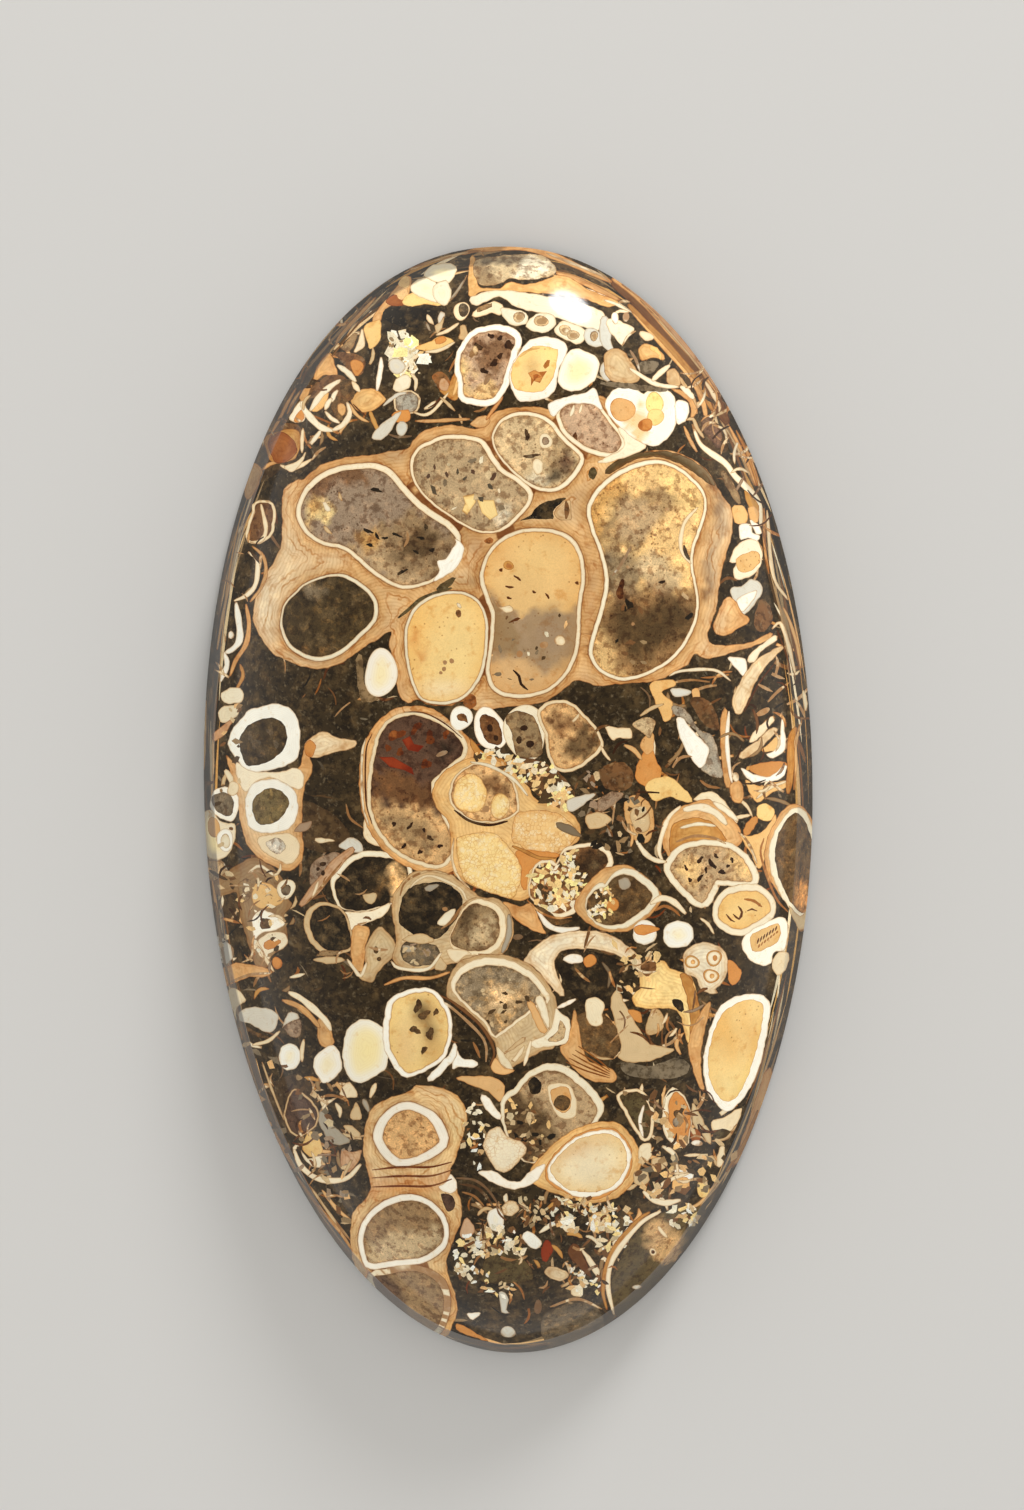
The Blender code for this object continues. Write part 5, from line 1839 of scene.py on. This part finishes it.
# The stains are laid over the clouds, each with a wavy edge
for patch in stains:
    chosen = np.flatnonzero((nameOf == patch["within"])[loopDrawn] & ~isBack[loopFace])
    if not len(chosen):
        continue
    loop = pixelToPlan(patch["points"])
    spots = corner[chosen, :2]
    depth = distanceTo(spots, loop) * np.where(within(spots, loop), 1, -1)
    for size, pace, lean in ((0.14, 3.1, 1.4), (0.12, 6.7, -4.1), (0.09, 12.3, 7.9), (0.07, -9.1, 17.7)):
        depth += size * np.sin(spots[:, 0] * pace + spots[:, 1] * lean + size * 50)
    share = np.clip(depth / patch["soft"] + 0.5, 0, 1)
    weight = patch["strength"] * share * share * (3 - 2 * share)
    tint[chosen, :3] += (np.array(paints[patch["paint"]]) - tint[chosen, :3]) * weight[:, None]

# Painted shade: the colour of the steep side is darkened, most of all on the left
paintedSideShade = {"left": 0.6, "lowerRight": 0.5, "upperRight": 0.25, "lowerFrom": -10}
steep = np.clip((shareAt(corner[:, 0], corner[:, 1]) - ridgeShare) / 0.006, 0, 1) * ~isBack[loopFace]
onRight = np.where(corner[:, 1] < paintedSideShade["lowerFrom"], paintedSideShade["lowerRight"], paintedSideShade["upperRight"])
tint[:, :3] *= (1 - steep * np.where(corner[:, 0] < 0, paintedSideShade["left"], onRight))[:, None]
tint = np.clip(tint, 0, 1)

mesh.attributes.new("tint", "FLOAT_COLOR", "CORNER").data.foreach_set("color", tint.ravel())
mesh.attributes.new("lie", "FLOAT_VECTOR", "CORNER").data.foreach_set("vector", lie.ravel())
finishOf = np.array([0] + [finishNames.index(m["finish"]) for m in marks], dtype=np.int32)
for name in finishNames:
    mesh.materials.append(bpy.data.materials.new(name))
mesh.polygons.foreach_set("material_index", finishOf[drawn])
mesh.polygons.foreach_set("use_smooth", np.ones(faceCount, dtype=bool))
mesh.normals_split_custom_set(smoothNormals().tolist())
mesh.update()
print("corners painted")

# Materials. Sizes are in millimetres. A rim is (reach, shade, strength) from the edge of a shape inwards.
gloss = {"ior": 1.54, "specular": 0.2, "relief": 0.2, "cellScale": 5.5}
layerShades = {
    "between": (0.86, 0.68, 0.43),       # mixed in half-way between two whorls
    "besideWhorl": (0.50, 0.24, 0.07),
    "growthLine": (0.66, 0.42, 0.20),
    "seam": (0.30, 0.15, 0.06),          # the thin dark line where a whorl's wall begins
    "cellEdge": (0.66, 0.40, 0.17),
    "growthRing": (0.62, 0.46, 0.30),
}
polish = {
    "ground": {"roughness": 0.09, "cloud": (0.8, 0.70, 1.30), "bump": 0.003,
               "wisps": (1.0, 0.50, 0.66, (0.16, 0.095, 0.035), 0.65),
               "pale": (4.5, 0.57, 0.68, (0.30, 0.22, 0.12), 0.32),
               "dark": (3.2, 0.48, 0.58, (0.42, 0.38, 0.32), 0.85)},
    "wall": {"roughness": 0.11, "cloud": (1.6, 0.98, 1.08), "bump": 0.003, "growth": (0.085, 0.06),
             "rims": ((0.09, (0.88, 0.70, 0.46), 0.55), (0.036, (0.38, 0.20, 0.08), 0.85)),
             "dark": (4.0, 0.58, 0.70, (0.84, 0.68, 0.46), 0.5)},
    "lamina": {"roughness": 0.11, "cloud": (0.9, 0.86, 1.12), "bump": 0.003, "layers": 0.85,
               "rims": ((0.34, (0.84, 0.60, 0.34), 0.60), (0.05, (0.34, 0.18, 0.07), 0.85)),
               "dark": (1.6, 0.54, 0.68, (0.66, 0.44, 0.24), 0.55), "growth": (0.16, 0.14),
               "pale": (1.9, 0.53, 0.66, (1.16, 1.18, 1.16), 0.8)},
    "mud": {"roughness": 0.12, "cloud": (1.1, 0.80, 1.12), "bump": 0.004,
            "dark": (2.9, 0.50, 0.60, (0.44, 0.34, 0.28), 0.80),
            "pale": (2.2, 0.52, 0.63, (1.40, 1.34, 1.28), 0.8),
            "specks": (4.6, 0.16, (0.30, 0.20, 0.12), 0.8), "grain": 0.18,
            "rims": ((0.16, (0.78, 0.60, 0.40), 0.45), (0.035, (0.36, 0.21, 0.10), 0.8))},
    "amber": {"roughness": 0.08, "cloud": (0.7, 0.92, 1.05), "bump": 0.002, "grain": 0.05,
              "rims": ((0.65, (0.95, 0.78, 0.54), 0.50), (0.04, (0.52, 0.28, 0.10), 0.75)),
              "dark": (2.1, 0.55, 0.70, (0.78, 0.54, 0.28), 0.6),
              "specks": (3.4, 0.10, (0.42, 0.24, 0.10), 0.7)},
    "dark": {"roughness": 0.08, "cloud": (1.0, 1.0, 2.3), "bump": 0.002,
             "wisps": (1.3, 0.50, 0.66, (0.19, 0.12, 0.05), 0.6),
             "pale": (3.2, 0.53, 0.66, (2.0, 1.8, 1.5), 0.8), "grain": 0.25,
             "dark": (2.6, 0.50, 0.60, (0.45, 0.40, 0.34), 0.8),
             "rims": ((0.10, (0.50, 0.40, 0.30), 0.6), )},
    "pearl": {"roughness": 0.10, "cloud": (0.9, 0.97, 1.03), "bump": 0.003, "growth": (0.11, 0.04),
              "rims": ((0.10, (0.88, 0.74, 0.54), 0.7), (0.036, (0.38, 0.22, 0.09), 0.8)),
              "heart": (0.22, 0.60, (0.98, 0.80, 0.36), 0.65),
              "dark": (3.0, 0.58, 0.70, (0.90, 0.76, 0.56), 0.6)},
    "grain": {"roughness": 0.12, "cloud": (1.0, 0.92, 1.06), "bump": 0.008, "cells": 0.65,
              "pale": (5.0, 0.50, 0.62, (0.96, 0.84, 0.56), 0.5),
              "rims": ((0.25, (0.86, 0.62, 0.36), 0.6), (0.05, (0.40, 0.22, 0.10), 0.8))},
    "crumb": {"roughness": 0.12, "cloud": (2.5, 0.84, 1.10), "bump": 0.003, "grain": 0.14},
}


def buildFinish(name, look):
    material = bpy.data.materials[name]
    material.use_nodes = True
    nodes, links = material.node_tree.nodes, material.node_tree.links
    nodes.clear()
    output = nodes.new("ShaderNodeOutputMaterial")
    shader = nodes.new("ShaderNodeBsdfPrincipled")
    shader.inputs["Roughness"].default_value = look["roughness"]
    shader.inputs["IOR"].default_value = gloss["ior"]
    shader.inputs["Specular IOR Level"].default_value = gloss["specular"]
    links.new(shader.outputs[0], output.inputs[0])
    position = nodes.new("ShaderNodeTexCoord")
    inMillimetres = nodes.new("ShaderNodeVectorMath")
    inMillimetres.operation = "SCALE"
    inMillimetres.inputs["Scale"].default_value = 1 / mm
    links.new(position.outputs["Object"], inMillimetres.inputs[0])
    place = inMillimetres.outputs[0]
    paint = nodes.new("ShaderNodeAttribute")
    paint.attribute_name = "tint"
    color = paint.outputs["Color"]
    lieNode = nodes.new("ShaderNodeAttribute")
    lieNode.attribute_name = "lie"
    parts = nodes.new("ShaderNodeSeparateXYZ")
    links.new(lieNode.outputs["Vector"], parts.inputs[0])
    depth, gap = parts.outputs["X"], parts.outputs["Y"]

    def noise(scale, detail=3, rough=0.55, shift=0.0):
        mapping = nodes.new("ShaderNodeMapping")
        mapping.inputs["Location"].default_value = (shift, shift * 1.7, 0)
        links.new(place, mapping.inputs["Vector"])
        node = nodes.new("ShaderNodeTexNoise")
        node.inputs["Scale"].default_value = scale
        node.inputs["Detail"].default_value = detail
        node.inputs["Roughness"].default_value = rough
        links.new(mapping.outputs[0], node.inputs["Vector"])
        return node.outputs["Fac"]

    def remap(value, low, high, toLow, toHigh):
        node = nodes.new("ShaderNodeMapRange")
        for socket, number in zip(("From Min", "From Max", "To Min", "To Max"), (low, high, toLow, toHigh)):
            node.inputs[socket].default_value = number
        links.new(value, node.inputs["Value"])
        return node.outputs["Result"]

    def brighten(color, value):
        node = nodes.new("ShaderNodeVectorMath")
        node.operation = "SCALE"
        links.new(color, node.inputs[0])
        links.new(value, node.inputs["Scale"])
        return node.outputs[0]

    def lay(color, other, factor, way="MIX"):
        # lays a colour over another, or multiplies it by a shade
        node = nodes.new("ShaderNodeMix")
        node.data_type = "RGBA"
        node.blend_type = way
        links.new(factor, node.inputs["Factor"])
        links.new(color, node.inputs["A"])
        node.inputs["B"].default_value = (*other, 1)
        return node.outputs["Result"]

    def work(operation, a, b=0.0):
        node = nodes.new("ShaderNodeMath")
        node.operation = operation
        for k, value in enumerate((a, b)):
            if isinstance(value, (int, float)):
                node.inputs[k].default_value = value
            else:
                links.new(value, node.inputs[k])
        return node.outputs[0]

    height = None
    scale, low, high = look["cloud"]
    color = brighten(color, remap(noise(scale, 4), 0.3, 0.7, low, high))
    if "heart" in look:
        start, end, shade, strength = look["heart"]
        color = lay(color, shade, remap(depth, start, end, 0, strength))
    if "wisps" in look:
        scale, start, end, shade, strength = look["wisps"]
        color = lay(color, shade, remap(noise(scale, 6, 0.66, 3.1), start, end, 0, strength))
    if "layers" in look:
        # lines of growth that follow the whorl they lie on, browner next to it and paler between whorls
        uneven = remap(noise(1.3, 3, 0.6, 4.4), 0.38, 0.62, 0.2, 1)
        color = lay(color, layerShades["between"],
                    work("MULTIPLY", remap(gap, 0.25, 0.9, 0, 0.4), remap(gap, 1.0, 1.6, 1, 0)))
        color = lay(color, layerShades["besideWhorl"],
                    work("MULTIPLY", remap(gap, 0.03, 0.26, 0.9, 0), uneven))
        wander = work("MULTIPLY", work("SUBTRACT", noise(0.8, 3), 0.5), 1.2)
        way = work("ADD", gap, wander)
        waves = work("ADD", work("SINE", work("MULTIPLY", way, 17.0)),
                     work("MULTIPLY", work("SINE", work("MULTIPLY", way, 41.0)), 0.8))
        fade = work("MULTIPLY", remap(noise(0.9, 2, 0.5, 7.7), 0.40, 0.60, 0.25, 1),
                    remap(gap, 0.9, 2.2, 1, 0.25))
        line = work("MULTIPLY", remap(waves, -0.1, 1.5, 0, look["layers"]), fade)
        color = lay(color, layerShades["growthLine"], line, "MULTIPLY")
        color = lay(color, layerShades["seam"], remap(gap, 0.0, 0.055, 0.9, 0), "MULTIPLY")
        height = line
    if "dark" in look:
        scale, start, end, shade, strength = look["dark"]
        color = lay(color, shade, remap(noise(scale, 4, 0.62, 11.3), start, end, 0, strength), "MULTIPLY")
    if "pale" in look:
        scale, start, end, shade, strength = look["pale"]
        color = lay(color, shade, remap(noise(scale, 4, 0.6, 5.9), start, end, 0, strength),
                    "MULTIPLY" if shade[0] > 1 else "MIX")
    if "specks" in look:
        scale, reach, shade, strength = look["specks"]
        dots = nodes.new("ShaderNodeTexVoronoi")
        dots.inputs["Scale"].default_value = scale
        links.new(place, dots.inputs["Vector"])
        some = remap(noise(0.8, 2, 0.5, 2.2), 0.45, 0.6, 0, strength)
        spot = remap(dots.outputs["Distance"], reach, reach + 0.08, 1, 0)
        color = lay(color, shade, work("MULTIPLY", some, spot), "MULTIPLY")
    if "cells" in look:
        cells = nodes.new("ShaderNodeTexVoronoi")
        cells.feature = "DISTANCE_TO_EDGE"
        cells.inputs["Scale"].default_value = gloss["cellScale"]
        links.new(place, cells.inputs["Vector"])
        fade = remap(noise(1.6, 3, 0.6, 8.8), 0.42, 0.58, 0.25, 1)
        line = remap(cells.outputs["Distance"], 0.01, 0.11, look["cells"], 0)
        color = lay(color, layerShades["cellEdge"], work("MULTIPLY", fade, line), "MULTIPLY")
        height = cells.outputs["Distance"]
    if "growth" in look:
        period, strength = look["growth"]
        rings = work("SINE", work("ADD", work("MULTIPLY", depth, 2 * math.pi / period),
                                  work("MULTIPLY", noise(2.0, 2), 7.0)))
        color = lay(color, layerShades["growthRing"], remap(rings, -0.2, 1.0, 0, strength * 2), "MULTIPLY")
    if "grain" in look:
        grain = look["grain"]
        color = brighten(color, remap(noise(15.0, 2, 0.6, 1.3), 0.35, 0.65, 1 - grain, 1 + grain))
    for reach, shade, strength in look.get("rims", ()):
        ragged = work("MULTIPLY", work("SUBTRACT", noise(3.0, 3, 0.6, 9.1), 0.5), reach * 0.9)
        color = lay(color, shade, remap(work("ADD", depth, ragged), 0.0, reach, strength, 0), "MULTIPLY")
    links.new(color, shader.inputs["Base Color"])
    relief = nodes.new("ShaderNodeBump")
    relief.inputs["Strength"].default_value = gloss["relief"]
    relief.inputs["Distance"].default_value = look["bump"] * mm
    links.new(height if height else noise(5.0, 3), relief.inputs["Height"])
    links.new(relief.outputs["Normal"], shader.inputs["Normal"])


for name, look in polish.items():
    buildFinish(name, look)
print("finishes made", len(polish))

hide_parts("agate_stone")
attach(piece, "root")

# Floor, light and camera
studio = {
    "floor": (0.66, 0.65, 0.63),
    "room": (1.0, 0.985, 0.955),
    "overhead": 0.46,          # the room is dim straight above and brighter all round
    "around": 1.45,
    "glare": (570, 305),       # the pixel where the lamp shows in the polish
    "lampAway": 0.55,
    "lampSize": 0.13,
    "lampPower": 2.0,
}


def buildStudio():
    bpy.ops.object.select_all(action="DESELECT")
    bpy.ops.mesh.primitive_plane_add(size=3.0, location=(0, 0, 0))
    floor = bpy.context.object
    floor.name = "paleFloor"
    card = bpy.data.materials.new("paleCard")
    card.use_nodes = True
    shader = card.node_tree.nodes["Principled BSDF"]
    shader.inputs["Base Color"].default_value = (*studio["floor"], 1)
    shader.inputs["Roughness"].default_value = 0.85
    floor.data.materials.append(card)

    world = bpy.data.worlds.new("softRoom")
    bpy.context.scene.world = world
    world.use_nodes = True
    nodes, links = world.node_tree.nodes, world.node_tree.links
    room = nodes["Background"]
    room.inputs["Color"].default_value = (*studio["room"], 1)
    way = nodes.new("ShaderNodeTexCoord")
    split = nodes.new("ShaderNodeSeparateXYZ")
    links.new(way.outputs["Generated"], split.inputs[0])
    level = split.outputs["Z"]
    for operation, value in (("SUBTRACT", None), ("POWER", 1.5), ("MULTIPLY", studio["around"]),
                             ("ADD", studio["overhead"])):
        node = nodes.new("ShaderNodeMath")
        node.operation = operation
        if operation == "SUBTRACT":
            node.inputs[0].default_value = 1
            node.use_clamp = True
            links.new(level, node.inputs[1])
        else:
            links.new(level, node.inputs[0])
            node.inputs[1].default_value = value
        level = node.outputs[0]
    links.new(level, room.inputs["Strength"])

    # the lamp stands where the polish would mirror it towards the camera from the glare
    spot = pixelToPlan([studio["glare"]])
    x, y = spot[0]
    z = float(heightAt(np.array([x]), np.array([y]))[0])
    step = 0.02
    slope = [float((heightAt(np.array([x + dx]), np.array([y + dy])) - heightAt(
        np.array([x - dx]), np.array([y - dy])))[0]) / (2 * step) for dx, dy in ((step, 0), (0, step))]
    normal = Vector((-slope[0], -slope[1], 1)).normalized()
    point = Vector((x, y, z)) * mm
    seenFrom = (Vector(cameraPlace) * mm - point).normalized()
    way = (2 * normal.dot(seenFrom) * normal - seenFrom).normalized()
    print("lamp way", [round(v, 3) for v in way])
    lamp = bpy.data.lights.new("softLamp", "AREA")
    lamp.shape = "DISK"
    lamp.size = studio["lampSize"]
    lamp.energy = studio["lampPower"]
    lampObject = bpy.data.objects.new("softLamp", lamp)
    bpy.context.scene.collection.objects.link(lampObject)
    lampObject.location = point + way * studio["lampAway"]
    lampObject.rotation_euler = (-way).to_track_quat("-Z", "Y").to_euler()


def placeCamera():
    camera = bpy.data.cameras.new("camera")
    camera.lens = view["lens"]
    camera.sensor_fit = "VERTICAL"
    camera.sensor_height = view["sensor"]
    camera.clip_start = 0.01
    camera.clip_end = 20
    holder = bpy.data.objects.new("camera", camera)
    bpy.context.scene.collection.objects.link(holder)
    turn = Matrix((viewRight, viewUp, toCamera)).transposed().to_4x4()
    holder.matrix_world = Matrix.Translation(Vector(cameraPlace) * mm) @ turn
    bpy.context.scene.camera = holder


buildStudio()
placeCamera()
bpy.context.scene.view_settings.view_transform = "Standard"
print("studio set")
